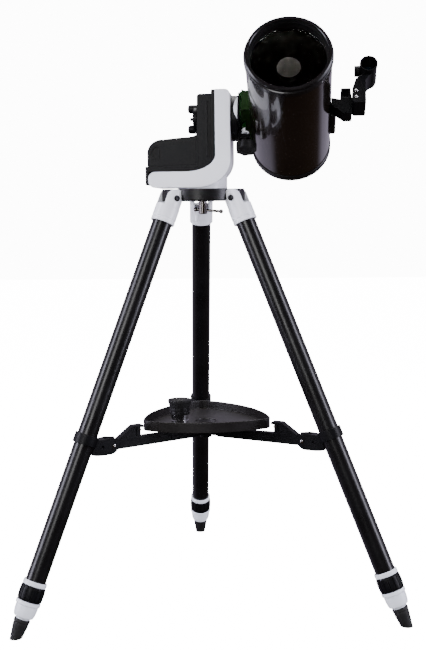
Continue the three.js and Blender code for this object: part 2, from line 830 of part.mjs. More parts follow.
const addClutchKnob = () => {
  const face = blockLeft - clutchGap;
  const gripAt = clutchRadius - clutchGripRadius;
  const grip = (at) =>
    alongZ(rod(clutchGripRadius, -clutchGripLength, 0, barrelSides)).translate(at, 0, 0);
  const knob = join(
    alongZ(rod(clutchBaseRadius, -clutchBaseThickness, 0, baseSides)),
    alongZ(rod(clutchNeckRadius, -overlap, clutchNeckLength, boreSides)),
    alongZ(rod(clutchNubRadius, -clutchNubLength, 0, boreSides)),
    grip(gripAt),
    grip(-gripAt),
  );
  knob.rotateY(90 * DEG).translate(face, 0, altitudeZ);
  add(model, 'altitude_clutch_knob', knob, blackPlastic);
};

// ---- Parts that turn on the altitude axis; the frame's -Y runs forward along the tube ----
const tilt = new THREE.Group();
tilt.position.set(0, 0, altitudeZ);
tilt.rotation.x = -tubeElevation * DEG;
model.add(tilt);

const hubInner = shellRight + running;
const hubOuter = hubInner + hubThickness;
const plateInner = hubOuter + touch;
const plateOuter = plateInner + saddlePlate;
const barInner = plateOuter + running;
const tubeSide = barInner + dovetailHeight;
const tubeOffset = tubeSide + tubeRadius; // tripod axis to the optical axis
const knobX = plateInner + clampScrewOut;

const addAltitudeAxle = () => {
  const teeth = 12;
  const wheelHalf = wheelThickness / 2;
  const wheel = extruded(lobed(wheelRadius, 1.2, teeth), -wheelHalf, wheelHalf);
  const wheelBore = alongZ(rod(shaftRadius + touch, -wheelThickness, wheelThickness, boreSides));
  const placed = cut(wheel, wheelBore).rotateY(90 * DEG).translate(wheelAt, 0, 0);
  add(tilt, 'altitude_worm_wheel', placed, brass);
  const hub = turned([
    [0, blockLeft + 1],
    [shaftRadius, blockLeft + 1],
    [shaftRadius, hubInner],
    [hubRadius, hubInner],
    [hubRadius, hubOuter - 1.5],
    [hubRadius - 1.5, hubOuter],
    [0, hubOuter],
  ], baseSides);
  add(tilt, 'altitude_hub', alongX(hub), blackPlastic);
};

// sections across the tube are drawn as x and height, and given a length along it
const section = (points, length, forward = 0) => plate(outline(points), length, 4).translate(0, -forward, 0);

const addSaddle = () => {
  const jawInner = dovetailHalfWidth + running;
  const jawOuter = dovetailNeck + running;
  const jawTop = barInner + dovetailSlope;
  const body = section([
    [plateInner, -saddleHalfWidth],
    [plateOuter, -saddleHalfWidth],
    [plateOuter, jawInner + 0.2],
    [barInner, jawInner],
    [jawTop, jawOuter],
    [jawTop + 1, jawOuter],
    [jawTop + 1, saddleHalfWidth],
    [plateInner, saddleHalfWidth],
  ], saddleLength);
  const lug = block(
    plateInner, knobX + 8, -screwLugWidth / 2, screwLugWidth / 2,
    -screwLugAt - screwLugThickness, -screwLugAt,
  );
  const web = block(
    plateInner, plateOuter - 1, -screwLugWidth / 2, screwLugWidth / 2,
    -screwLugAt - 1, -saddleHalfWidth + 1,
  );
  const screwHole = alongZ(rod(clampScrewRadius + running, -screwLugAt - 20, -screwLugAt + 10, boreSides));
  screwHole.translate(knobX, 0, 0);
  add(tilt, 'saddle', cut(join(body, lug, web), screwHole), greenMetal);

  const jaw = section([
    [barInner, -saddleHalfWidth + 1],
    [barInner, -jawInner],
    [jawTop, -jawOuter],
    [jawTop + 1, -jawOuter],
    [jawTop + 1, -saddleHalfWidth + 1],
  ], jawLength);
  add(tilt, 'saddle_jaw', jaw, greenMetal);
};

const addSaddleKnob = () => {
  const half = knobThickness / 2;
  const head = extruded(lobed(knobRadius, knobLobe, knobLobes), -knobAt - half, -knobAt + half);
  const screwEnd = -saddleHalfWidth + 1 - touch;
  const screw = alongZ(rod(clampScrewRadius, -knobAt, screwEnd, boreSides));
  const knob = join(head, screw).translate(knobX, 0, 0);
  add(tilt, 'saddle_knob', knob, blackPlastic);
};

const optical = (geometry) => geometry.translate(tubeOffset, 0, 0);

const addDovetail = () => {
  const bar = section([
    [barInner, -dovetailHalfWidth],
    [barInner + dovetailSlope, -dovetailNeck],
    [tubeSide + 8, -dovetailNeck],
    [tubeSide + 8, dovetailNeck],
    [barInner + dovetailSlope, dovetailNeck],
    [barInner, dovetailHalfWidth],
  ], dovetailLength, dovetailForward);
  const tubeSpace = optical(rod(tubeRadius + touch, -frontRim, frontRim, tubeSides));
  add(tilt, 'dovetail_bar', cut(bar, tubeSpace), greenMetal);
};

// ---- Telescope; profiles are [radius, y], and y runs backward from the altitude axis ----
const cellBack = -frontRim + frontCellLength;

const addTube = () => {
  const rearEnd = -rearFace - rearCellLength - touch;
  const tube = ring(tubeRadius, tubeRadius - tubeWall, cellBack + touch, rearEnd, tubeSides);
  add(tilt, 'main_tube', optical(tube), blackPaint);
};

const addFrontCell = () => {
  const seat = -frontRim + correctorRecess;
  const spigot = tubeRadius - tubeWall - touch;
  const cell = turned([
    [apertureRadius, -frontRim],
    [lipRadius, -frontRim],
    [lipRadius, -frontRim + lipLength],
    [frontCellRadius, -frontRim + lipLength + 1.5],
    [frontCellRadius, cellBack],
    [spigot, cellBack],
    [spigot, cellBack + spigotLength],
    [correctorRadius + touch, cellBack + spigotLength],
    [correctorRadius + touch, seat],
    [apertureRadius, seat],
  ], tubeSides);
  add(tilt, 'front_cell', optical(cell), blackMetal);
};

const sag = (r, curve) => curve - Math.sqrt(curve ** 2 - r ** 2);

const addCorrector = () => {
  const front = -frontRim + correctorRecess + touch;
  const bow = sag(correctorRadius, correctorCurve);
  const steps = 3;
  const at = (i) => correctorRadius * (i / steps);
  const radii = Array.from({ length: steps + 1 }, (_, i) => at(i));
  const face = radii.map((r) => [r, front + bow - sag(r, correctorCurve)]);
  const back = radii.map((r) => [r, front + correctorEdge + bow - sag(r, correctorCurve)]);
  add(tilt, 'corrector_lens', optical(turned([...face, ...back.reverse()], tubeSides)), opticalGlass);
  const spotFront = front + correctorEdge + bow + touch;
  const spot = [0, spotRadius / 2, spotRadius].map((r) => [r, spotFront - sag(r, correctorCurve)]);
  const spotBack = spot.map(([r, y]) => [r, y + spotThickness]).reverse();
  add(tilt, 'secondary_spot', optical(turned([...spot, ...spotBack], boreSides)), mirrorCoat);
};

const rearCellFront = -rearFace - rearCellLength;
const plateFront = -rearFace - rearPlate;
const focusX = focusOffset * Math.cos(focusBearing * DEG);
const focusZ = focusOffset * Math.sin(focusBearing * DEG);

const addRearCell = () => {
  const spigot = tubeRadius - tubeWall - touch;
  const cell = turned([
    [baffleRadius + touch, -rearFace],
    [rearCellRadius - 4, -rearFace],
    [rearCellRadius, -rearFace - 4],
    [rearCellRadius, rearCellFront],
    [spigot, rearCellFront],
    [spigot, rearCellFront - 6],
    [spigot - 3, rearCellFront - 6],
    [spigot - 3, plateFront],
    [baffleRadius + touch, plateFront],
  ], tubeSides);
  const screwHole = rod(focusScrewRadius + running, plateFront - 5, -rearFace + 5, boreSides);
  screwHole.translate(focusX, 0, focusZ);
  add(tilt, 'rear_cell', optical(cut(cell, screwHole)), blackMetal);
  const baffleEnd = -rearFace - 0.5;
  const inner = baffleRadius - baffleWall;
  const baffle = ring(baffleRadius, inner, baffleEnd - baffleLength, baffleEnd, boreSides);
  add(tilt, 'baffle_tube', optical(baffle), blackMetal);
};

const addPrimaryMirror = () => {
  const back = -mirrorAt + mirrorThickness / 2;
  const face = -mirrorAt - mirrorThickness / 2;
  const bow = sag(mirrorRadius, mirrorCurve);
  const steps = 2;
  const faceAt = (i) => {
    const r = mirrorHoleRadius + ((mirrorRadius - mirrorHoleRadius) * i) / steps;
    return [r, face + bow - sag(r, mirrorCurve)];
  };
  const faces = Array.from({ length: steps + 1 }, (_, i) => faceAt(i));
  const mirror = turned([...faces, [mirrorRadius, back], [mirrorHoleRadius, back]], tubeSides);
  add(tilt, 'primary_mirror', optical(mirror), mirrorCoat);
};

const addVisualBack = () => {
  const start = -rearFace + touch;
  const back = turned([
    [barrelRadius + running, start],
    [visualBackRadius, start],
    [visualBackRadius, start + 6],
    [visualBackRadius - 2, start + 7],
    [visualBackRadius - 2, start + visualBackLength],
    [barrelRadius + running, start + visualBackLength],
  ], barrelSides);
  add(tilt, 'visual_back', optical(back), blackMetal);
};

const addFocusKnob = () => {
  const start = -rearFace + touch;
  const knob = extruded(lobed(focusKnobRadius, 1, 12), -start - focusKnobLength, -start).rotateX(90 * DEG);
  const screw = rod(focusScrewRadius, plateFront - 4, start + 2, boreSides);
  const whole = join(knob, screw).translate(focusX, 0, focusZ);
  add(tilt, 'focus_knob', optical(whole), rubber);
};

// ---- Star diagonal and its eyepiece; the socket stands on the optical axis, pointing up ----
const diagonalFront = -rearFace + diagonalStart;
const diagonalMiddle = diagonalFront + diagonalLength / 2;

const addDiagonal = () => {
  const w = diagonalHalfWidth;
  const back = diagonalFront + diagonalLength;
  const side = new THREE.Shape();
  side.moveTo(diagonalFront, -w);
  side.lineTo(diagonalFront + 10, -w);
  side.lineTo(back, w - 8);
  side.lineTo(back, w);
  side.lineTo(diagonalFront, w);
  const housing = extruded(side, -w, w).rotateX(90 * DEG).rotateZ(90 * DEG);
  const nose = rod(barrelRadius, diagonalFront - visualBackLength + 2, diagonalFront + 1, barrelSides);
  const socket = alongZ(rod(diagonalSocketRadius, w - 1, diagonalSocketTop, barrelSides));
  socket.translate(0, diagonalMiddle, 0);
  const bore = alongZ(rod(barrelRadius + running, diagonalSocketTop - diagonalBoreDepth, 60, barrelSides));
  bore.translate(0, diagonalMiddle, 0);
  const lightWay = rod(barrelRadius - 3, diagonalFront - visualBackLength - 5, diagonalMiddle, boreSides);
  const body = cut(join(housing, nose, socket), bore, lightWay);
  add(tilt, 'star_diagonal', optical(body), blackMetal);
};

const addEyepiece = () => {
  const lift = diagonalSocketTop + touch - eyepieceBarrelLength;
  const whole = join(
    eyepieceBarrel(eyepieceBarrelLength + 1),
    eyepieceBody(eyepieceBarrelLength),
  );
  whole.translate(0, diagonalMiddle, lift);
  add(tilt, 'eyepiece', optical(whole), blackPlastic);
};

// ---- Finder on the tube's right side ----
const addFinder = () => {
  const halfShoe = finderShoeWidth / 2;
  const shoeTop = tubeRadius + finderShoeHeight;
  const tubeSpace = rod(tubeRadius + touch, -frontRim, frontRim, tubeSides);
  const shoe = section([
    [tubeRadius - 6, -halfShoe],
    [shoeTop - 2, -halfShoe],
    [shoeTop, -halfShoe + 3],
    [shoeTop, halfShoe - 3],
    [shoeTop - 2, halfShoe],
    [tubeRadius - 6, halfShoe],
  ], finderShoeLength, finderShoeAt);
  add(tilt, 'finder_shoe', optical(cut(shoe, tubeSpace)), blackPlastic);

  const face = tubeRadius + bracketReach;
  const arm = section([
    [tubeRadius - 2, -12],
    [face - 14, -bracketDrop],
    [face, -bracketDrop],
    [face, 0],
    [face - 2, bracketTop],
    [face - 18, bracketTop],
    [face - 20, -2],
    [tubeRadius - 2, 2],
  ], finderArmLength, finderArmAt);
  add(tilt, 'finder_bracket', optical(cut(arm, tubeSpace)), blackPlastic);

  const ringX = face + finderRingOut;
  const ringLow = finderRingUp - finderRingRadius - touch;
  const body = section([
    [face + touch, -finderDrop],
    [face + finderWidth, -finderDrop],
    [face + finderWidth, bracketTop - 2],
    [ringX + 6, ringLow],
    [ringX - 8, ringLow],
    [face + 6, bracketTop + 2],
    [face + touch, 4],
  ], finderBodyLength, finderBodyAt);
  add(tilt, 'finder_body', optical(body), blackPlastic);

  const y = -finderRingAt;
  const half = finderRingLength / 2;
  const hood = ring(finderRingRadius, finderRingRadius - finderRingWall, y - half, y + half, boreSides);
  hood.translate(ringX, 0, finderRingUp);
  add(tilt, 'finder_hood', optical(hood), blackPlastic);
};

// ---- Assembly ----
addTripodHead();
addMountingBolt();
legs.forEach(addLeg);
addSpreaderHub();
addTray();
addSpareEyepiece();
addAzimuthBase();
addMountShell();
addHousing();
addBatteryDoor();
addClutchKnob();
addAltitudeAxle();
addSaddle();
addSaddleKnob();
addDovetail();
addTube();
addFrontCell();
addCorrector();
addRearCell();
addPrimaryMirror();
addVisualBack();
addFocusKnob();
addDiagonal();
addEyepiece();
addFinder();

// the origin goes to the middle of the footprint, on the floor
model.updateMatrixWorld(true);
const extent = new THREE.Box3().setFromObject(model, true);
const middle = extent.getCenter(new THREE.Vector3());
const group = new THREE.Group();
model.position.set(-middle.x, -middle.y, -extent.min.z);
group.add(model);

export default group;
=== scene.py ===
"""A compact catadioptric telescope on a one-armed mount and a field tripod: the finished surfaces."""
import json
from math import atan2, cos, pi, radians, sin, sqrt

import bpy
from mathutils import Matrix, Vector


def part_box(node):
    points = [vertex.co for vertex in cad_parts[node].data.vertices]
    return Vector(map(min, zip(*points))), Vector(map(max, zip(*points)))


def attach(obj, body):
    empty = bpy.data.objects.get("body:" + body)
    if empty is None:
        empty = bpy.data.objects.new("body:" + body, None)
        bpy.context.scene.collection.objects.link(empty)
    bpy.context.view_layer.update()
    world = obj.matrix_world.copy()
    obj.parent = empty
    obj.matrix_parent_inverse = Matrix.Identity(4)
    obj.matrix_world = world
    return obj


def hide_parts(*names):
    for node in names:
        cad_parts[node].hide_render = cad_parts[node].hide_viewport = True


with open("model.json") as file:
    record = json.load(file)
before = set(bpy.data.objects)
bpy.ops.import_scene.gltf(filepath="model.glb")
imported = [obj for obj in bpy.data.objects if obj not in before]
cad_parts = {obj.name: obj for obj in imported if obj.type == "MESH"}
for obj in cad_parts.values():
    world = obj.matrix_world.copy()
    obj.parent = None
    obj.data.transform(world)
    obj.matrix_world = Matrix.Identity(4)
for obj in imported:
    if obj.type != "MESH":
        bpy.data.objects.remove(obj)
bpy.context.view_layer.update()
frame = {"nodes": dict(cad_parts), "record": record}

MM = 0.001
ROUND = 96  # steps round a large turned piece
FINE = 56  # steps round a small one

# ---------------------------------------------------------------- places, from the frame
joints = {j["name"]: j for j in frame["record"]["behaviour"]["joints"]}
SIDES = ("left", "right", "rear")


def joint_point(name):
    return Vector(joints[name]["pos_m"])


def joint_axis(name):
    return Vector(joints[name]["axis"]).normalized()


def matrix_of(x, y, z, origin):
    turn = Matrix((x, y, z)).transposed().to_4x4()
    return Matrix.Translation(origin) @ turn


def middle_of(node):
    low, high = (Vector(corner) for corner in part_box(node))
    return (low + high) / 2


RIGHT = Vector((1, 0, 0))
UP = Vector((0, 0, 1))
stand = joint_point("azimuth_turn")
stand_foot = Vector((stand.x, stand.y, 0))
altitude = joint_point("altitude_tilt")
forward = joint_axis("tube_slide")
tube_up = joint_axis("eyepiece_lift")
optical_x = middle_of("main_tube").x

# local x runs right, y up across the tube and z forward along it, from the altitude axis
TILT = matrix_of(RIGHT, tube_up, forward, altitude)
TUBE = matrix_of(RIGHT, tube_up, forward, Vector((optical_x, altitude.y, altitude.z)))
STAND = Matrix.Translation(stand_foot)


def leg_place(side):
    """local z runs down the leg from its hinge, y along the hinge's axis"""
    along = joint_axis(f"{side}_leg_extend")
    hinge = joint_axis(f"{side}_leg_fold")
    return matrix_of(hinge.cross(along), hinge, along, joint_point(f"{side}_leg_fold"))


def radial_place(side):
    """local x runs out from the tripod's axis towards the leg, z up from the floor"""
    hinge = joint_axis(f"{side}_leg_fold")
    return matrix_of(hinge.cross(UP), hinge, UP, stand_foot)


# ---------------------------------------------------------------- modelling, as by hand
def deselect():
    if bpy.context.object and bpy.context.object.mode != "OBJECT":
        bpy.ops.object.mode_set(mode="OBJECT")
    bpy.ops.object.select_all(action="DESELECT")


def only(piece):
    deselect()
    piece.select_set(True)
    bpy.context.view_layer.objects.active = piece


def chain(name, points):
    """edges through the points, in millimetres, drawn by extruding one vertex"""
    deselect()
    bpy.ops.mesh.primitive_plane_add(size=MM)
    piece = bpy.context.object
    piece.name = name
    bpy.ops.object.mode_set(mode="EDIT")
    bpy.ops.mesh.select_mode(type="VERT")
    bpy.ops.mesh.select_all(action="SELECT")
    bpy.ops.mesh.merge(type="CENTER")
    here = Vector((0, 0, 0))
    start = Vector(points[0]) * MM
    bpy.ops.transform.translate(value=start - here)
    here = start
    for point in points[1:]:
        there = Vector(point) * MM
        bpy.ops.mesh.extrude_vertices_move(TRANSFORM_OT_translate={"value": there - here})
        here = there
    bpy.ops.mesh.select_all(action="SELECT")
    return piece


def outward():
    bpy.ops.mesh.select_all(action="SELECT")
    bpy.ops.mesh.remove_doubles(threshold=0.002 * MM)
    bpy.ops.mesh.dissolve_degenerate(threshold=0.001 * MM)
    bpy.ops.mesh.normals_make_consistent(inside=False)


def spun(name, profile, steps=ROUND):
    """a profile of (radius, height) turned about z; a ring's profile closes on itself"""
    ring = all(r > 0 for r, _ in profile)
    points = [(r, 0, z) for r, z in profile]
    if ring:
        points.append(points[0])
    piece = chain(name, points)
    bpy.ops.mesh.remove_doubles(threshold=0.002 * MM)
    bpy.ops.mesh.spin(steps=steps, angle=2 * pi, center=(0, 0, 0), axis=(0, 0, 1))
    outward()
    bpy.ops.object.mode_set(mode="OBJECT")
    return piece


def slab(name, points, thickness, centred=True):
    """an outline in x and y, given a thickness along z"""
    start = -thickness / 2 if centred else 0
    loop = [(x, y, start) for x, y in points]
    piece = chain(name, loop + [loop[0]])
    bpy.ops.mesh.remove_doubles(threshold=0.002 * MM)
    bpy.ops.mesh.edge_face_add()
    bpy.ops.mesh.extrude_region_move(TRANSFORM_OT_translate={"value": (0, 0, thickness * MM)})
    outward()
    bpy.ops.object.mode_set(mode="OBJECT")
    return piece


def block(name, x, y, z):
    """a box between (low, high) pairs, in millimetres"""
    deselect()
    centre = [(low + high) / 2 * MM for low, high in (x, y, z)]
    bpy.ops.mesh.primitive_cube_add(size=1, location=centre)
    piece = bpy.context.object
    piece.name = name
    piece.scale = [(high - low) * MM for low, high in (x, y, z)]
    bpy.ops.object.transform_apply(location=True, rotation=True, scale=True)
    return piece


def apply_modifiers(piece):
    only(piece)
    for modifier in list(piece.modifiers):
        bpy.ops.object.modifier_apply(modifier=modifier.name)


def combine(piece, others, operation):
    for other in others:
        modifier = piece.modifiers.new("shape", "BOOLEAN")
        modifier.operation = operation
        modifier.solver = "EXACT"
        modifier.object = other
        apply_modifiers(piece)
        bpy.data.objects.remove(other, do_unlink=True)
    return piece


def cut(piece, *others):
    return combine(piece, others, "DIFFERENCE")


def join(piece, *others):
    return combine(piece, others, "UNION")


def eased(piece, width=0.5, segments=3, angle=32):
    """rounds the sharp edges"""
    modifier = piece.modifiers.new("ease", "BEVEL")
    modifier.width = width * MM
    modifier.segments = segments
    modifier.limit_method = "ANGLE"
    modifier.angle_limit = radians(angle)
    modifier.use_clamp_overlap = True
    apply_modifiers(piece)
    return piece


def smooth(piece, angle=38):
    only(piece)
    bpy.ops.object.shade_smooth_by_angle(angle=radians(angle))
    modifier = piece.modifiers.new("even", "WEIGHTED_NORMAL")
    modifier.keep_sharp = True
    apply_modifiers(piece)
    return piece


def placed(piece, place):
    piece.matrix_world = place
    only(piece)
    bpy.ops.object.transform_apply(location=True, rotation=True, scale=True)
    return piece


def turn(piece, axis, degrees):
    return placed(piece, Matrix.Rotation(radians(degrees), 4, axis))


def move(piece, x=0, y=0, z=0):
    return placed(piece, Matrix.Translation(Vector((x, y, z)) * MM))


def finished(piece, place, body, material, replaces=(), smooth_angle=38):
    """puts the piece in its place in the frame and gives it its finish"""
    smooth(piece, smooth_angle)
    placed(piece, place)
    piece.data.materials.clear()
    piece.data.materials.append(material)
    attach(piece, body)
    if replaces:
        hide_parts(*replaces)
    return piece


def copy_of(piece, name):
    twin = piece.copy()
    twin.data = piece.data.copy()
    twin.name = name
    bpy.context.collection.objects.link(twin)
    return twin


def arc(cx, cy, radius, start, end, steps=8, radius_y=None):
    """points on an arc, angles in degrees"""
    tall = radius if radius_y is None else radius_y
    turns = [radians(start + (end - start) * i / steps) for i in range(steps + 1)]
    return [(cx + radius * cos(t), cy + tall * sin(t)) for t in turns]


def lobed(radius, depth, lobes, steps=8):
    count = lobes * steps
    points = []
    for i in range(count):
        t = 2 * pi * i / count
        r = radius - depth * (0.5 - 0.5 * cos(lobes * t))
        points.append((r * cos(t), r * sin(t)))
    return points


def refined(node, name, width=0.5, segments=3, flat=4):
    """a copy of a CAD solid with its edges rounded"""
    source = frame["nodes"][node]
    piece = source.copy()
    piece.data = source.data.copy()
    piece.name = name
    piece.parent = None
    piece.matrix_world = Matrix()
    bpy.context.collection.objects.link(piece)
    piece.hide_set(False)
    only(piece)
    bpy.ops.object.mode_set(mode="EDIT")
    bpy.ops.mesh.select_all(action="SELECT")
    bpy.ops.mesh.remove_doubles(threshold=0.004 * MM)
    bpy.ops.mesh.dissolve_limited(angle_limit=radians(flat))
    bpy.ops.object.mode_set(mode="OBJECT")
    return eased(piece, width, segments)


# ---------------------------------------------------------------- finishes
def shader(name):
    material = bpy.data.materials.new(name)
    material.use_nodes = True
    nodes = material.node_tree.nodes
    links = material.node_tree.links
    coat = nodes["Principled BSDF"]
    place = nodes.new("ShaderNodeTexCoord")
    return material, nodes, links, coat, place.outputs["Object"]


def noise(nodes, links, where, scale, detail=2.0, rough=0.5):
    node = nodes.new("ShaderNodeTexNoise")
    node.inputs["Scale"].default_value = scale
    node.inputs["Detail"].default_value = detail
    node.inputs["Roughness"].default_value = rough
    links.new(where, node.inputs["Vector"])
    return node.outputs["Fac"]


def spread(nodes, links, value, low, high, start=0.3, end=0.7):
    node = nodes.new("ShaderNodeMapRange")
    node.inputs["From Min"].default_value = start
    node.inputs["From Max"].default_value = end
    node.inputs["To Min"].default_value = low
    node.inputs["To Max"].default_value = high
    links.new(value, node.inputs["Value"])
    return node.outputs["Result"]


def blend_colour(nodes, links, factor, first, second):
    node = nodes.new("ShaderNodeMix")
    node.data_type = "RGBA"
    node.inputs["A"].default_value = (*first, 1)
    node.inputs["B"].default_value = (*second, 1)
    links.new(factor, node.inputs["Factor"])
    return node.outputs["Result"]


def bumped(nodes, links, coat, height, strength, depth):
    node = nodes.new("ShaderNodeBump")
    node.inputs["Strength"].default_value = strength
    node.inputs["Distance"].default_value = depth
    links.new(height, node.inputs["Height"])
    links.new(node.outputs["Normal"], coat.inputs["Normal"])
    return node


def finish(name, dark, light, rough, grain, strength, depth, metal=0.0, gloss=0.0,
           gloss_rough=0.05, patch=14.0, level=0.5):
    """a surface whose colour, gloss and grain all vary a little, as a real one does"""
    material, nodes, links, coat, where = shader(name)
    cloud = noise(nodes, links, where, patch, 4, 0.55)
    speck = noise(nodes, links, where, grain, 3, 0.6)
    mixed = nodes.new("ShaderNodeMath")
    mixed.operation = "MULTIPLY_ADD"
    mixed.inputs[1].default_value = 0.45
    links.new(speck, mixed.inputs[0])
    half = nodes.new("ShaderNodeMath")
    half.operation = "MULTIPLY"
    half.inputs[1].default_value = 0.55
    links.new(cloud, half.inputs[0])
    links.new(half.outputs[0], mixed.inputs[2])
    shade = spread(nodes, links, mixed.outputs[0], 0, 1, 0.35, 0.65)
    links.new(blend_colour(nodes, links, shade, dark, light), coat.inputs["Base Color"])
    links.new(spread(nodes, links, mixed.outputs[0], rough[0], rough[1]), coat.inputs["Roughness"])
    coat.inputs["Metallic"].default_value = metal
    coat.inputs["Coat Weight"].default_value = gloss
    coat.inputs["Coat Roughness"].default_value = gloss_rough
    coat.inputs["Specular IOR Level"].default_value = level
    bumped(nodes, links, coat, speck, strength, depth * MM)
    return material


TUBE_PAINT = finish("tube_lacquer", (0.0060, 0.0038, 0.0028), (0.0125, 0.0076, 0.0052),
                    (0.2, 0.27), 5200, 0.05, 0.02, metal=0.3, gloss=1.0, gloss_rough=0.035, patch=9)
FRONT_METAL = finish("front_cell_anodising", (0.0035, 0.0032, 0.0036), (0.0075, 0.007, 0.0078),
                     (0.2, 0.28), 2600, 0.08, 0.03, metal=0.2, gloss=0.3, gloss_rough=0.1, patch=30)
LEG_PAINT = finish("leg_anodising", (0.0032, 0.0029, 0.0034), (0.0064, 0.0058, 0.0068), (0.24, 0.33),
                   3600, 0.10, 0.03, metal=0.25, patch=20)
BLACK_METAL = finish("satin_black_metal", (0.0038, 0.0035, 0.0040), (0.0080, 0.0075, 0.0084),
                     (0.28, 0.4), 2600, 0.14, 0.04, metal=0.2, patch=30, level=0.4)
BLACK_PLASTIC = finish("moulded_black", (0.0022, 0.0022, 0.0028), (0.0046, 0.0046, 0.0058),
                       (0.34, 0.46), 1900, 0.28, 0.06, patch=34, level=0.14)
TRAY_PLASTIC = finish("tray_moulding", (0.0065, 0.0055, 0.0055), (0.0125, 0.0105, 0.0105),
                      (0.34, 0.46), 1500, 0.35, 0.07, patch=26, level=0.4)
WHITE_PLASTIC = finish("white_enamel", (0.80, 0.81, 0.86), (0.87, 0.88, 0.92), (0.26, 0.36),
                       1400, 0.08, 0.05, gloss=0.25, gloss_rough=0.12, patch=18)
WHITE_RING = finish("white_collar_moulding", (0.72, 0.75, 0.82), (0.82, 0.84, 0.89), (0.3, 0.42),
                    1600, 0.12, 0.05, gloss=0.15, gloss_rough=0.2, patch=30)
GREEN_METAL = finish("green_anodising", (0.0015, 0.030, 0.003), (0.004, 0.062, 0.006), (0.26, 0.38),
                     2400, 0.12, 0.03, metal=0.4, patch=40)
GREEN_BAR = finish("dark_green_anodising", (0.004, 0.022, 0.0025), (0.011, 0.044, 0.005),
                   (0.28, 0.4), 2400, 0.12, 0.03, metal=0.4, patch=40)
CHROME = finish("bright_plating", (0.62, 0.62, 0.64), (0.74, 0.74, 0.76), (0.08, 0.17),
                3000, 0.08, 0.02, metal=1.0, patch=60)
STEEL = finish("screw_steel", (0.40, 0.40, 0.41), (0.55, 0.55, 0.56), (0.2, 0.34),
               2600, 0.12, 0.03, metal=1.0, patch=60)
# a dimmed copy of the bright plating: painted shade on the chromed mounting bolt and its cross bar
SHADED_BOLT_CHROME = finish("bolt_chrome_painted_shade", (0.20, 0.185, 0.18), (0.30, 0.28, 0.275), (0.12, 0.2),
                      3000, 0.08, 0.02, metal=1.0, patch=60)
BLACK_STEEL = finish("blackened_steel", (0.012, 0.012, 0.014), (0.024, 0.024, 0.027), (0.26, 0.38),
                     2600, 0.12, 0.03, metal=0.7, patch=60)
BRASS = finish("machined_brass", (0.42, 0.28, 0.09), (0.55, 0.38, 0.14), (0.2, 0.32),
               2200, 0.15, 0.03, metal=1.0, patch=40)
RUBBER = finish("black_rubber", (0.0050, 0.0048, 0.0052), (0.0105, 0.010, 0.0105), (0.55, 0.72),
                1300, 0.45, 0.09, patch=40, level=0.35)
FLOCK = finish("tube_interior_black", (0.0012, 0.0010, 0.0010), (0.0026, 0.0023, 0.0022), (0.7, 0.9),
               2400, 0.4, 0.06, patch=60, level=0.15)
MIRROR = finish("aluminised_mirror", (0.72, 0.73, 0.74), (0.8, 0.81, 0.82), (0.02, 0.05),
                900, 0.01, 0.005, metal=1.0, patch=12)
SPOT = finish("secondary_mirror_back", (0.050, 0.042, 0.041), (0.080, 0.069, 0.067), (0.3, 0.42),
              1200, 0.08, 0.02, metal=0.3, patch=70)


def glass(name, tint, coat_tint):
    material, nodes, links, coat, where = shader(name)
    cloud = noise(nodes, links, where, 30, 2)
    links.new(blend_colour(nodes, links, cloud, tint, coat_tint), coat.inputs["Base Color"])
    links.new(spread(nodes, links, cloud, 0.005, 0.03), coat.inputs["Roughness"])
    coat.inputs["Transmission Weight"].default_value = 1.0
    coat.inputs["IOR"].default_value = 1.12
    return material


LENS = glass("coated_corrector_glass", (0.86, 0.9, 0.86), (0.92, 0.95, 0.93))
EYE_LENS = glass("coated_eye_lens", (0.32, 0.26, 0.4), (0.5, 0.42, 0.62))
FINDER_LENS = finish("blue_coated_lens", (0.004, 0.010, 0.016), (0.007, 0.018, 0.028), (0.05, 0.09),
                     1800, 0.01, 0.005, gloss=1.0, gloss_rough=0.02, patch=40, level=0.9)


# ---------------------------------------------------------------- camera, light and floor
def add_camera():
    eye = Vector((187.4, -1920.5, 712.5)) * MM + stand_foot
    yaw, pitch, roll = (radians(angle) for angle in (-5.11, 6.20, -0.72))
    ahead = Vector((sin(yaw) * cos(pitch), cos(yaw) * cos(pitch), -sin(pitch)))
    level = Vector((cos(yaw), -sin(yaw), 0))
    above = level.cross(ahead)
    side = level * cos(roll) + above * sin(roll)
    head = above * cos(roll) - level * sin(roll)
    deselect()
    bpy.ops.object.camera_add()
    camera = bpy.context.object
    camera.name = "studio_camera"
    camera.matrix_world = matrix_of(side, head, -ahead, eye)
    camera.data.lens = 58.96
    camera.data.sensor_width = 36
    camera.data.clip_start = 0.05
    bpy.context.scene.camera = camera


def add_softbox(name, place, target, size, power, tint=(1, 1, 1)):
    deselect()
    bpy.ops.object.light_add(type="AREA", location=place)
    lamp = bpy.context.object
    lamp.name = name
    lamp.data.shape = "RECTANGLE"
    lamp.data.size, lamp.data.size_y = size
    lamp.data.energy = power
    lamp.data.color = tint
    lamp.rotation_euler = (Vector(target) - Vector(place)).to_track_quat("-Z", "Y").to_euler()


GLOW = 15.0  # the lit backdrop and floor, as the camera sees them


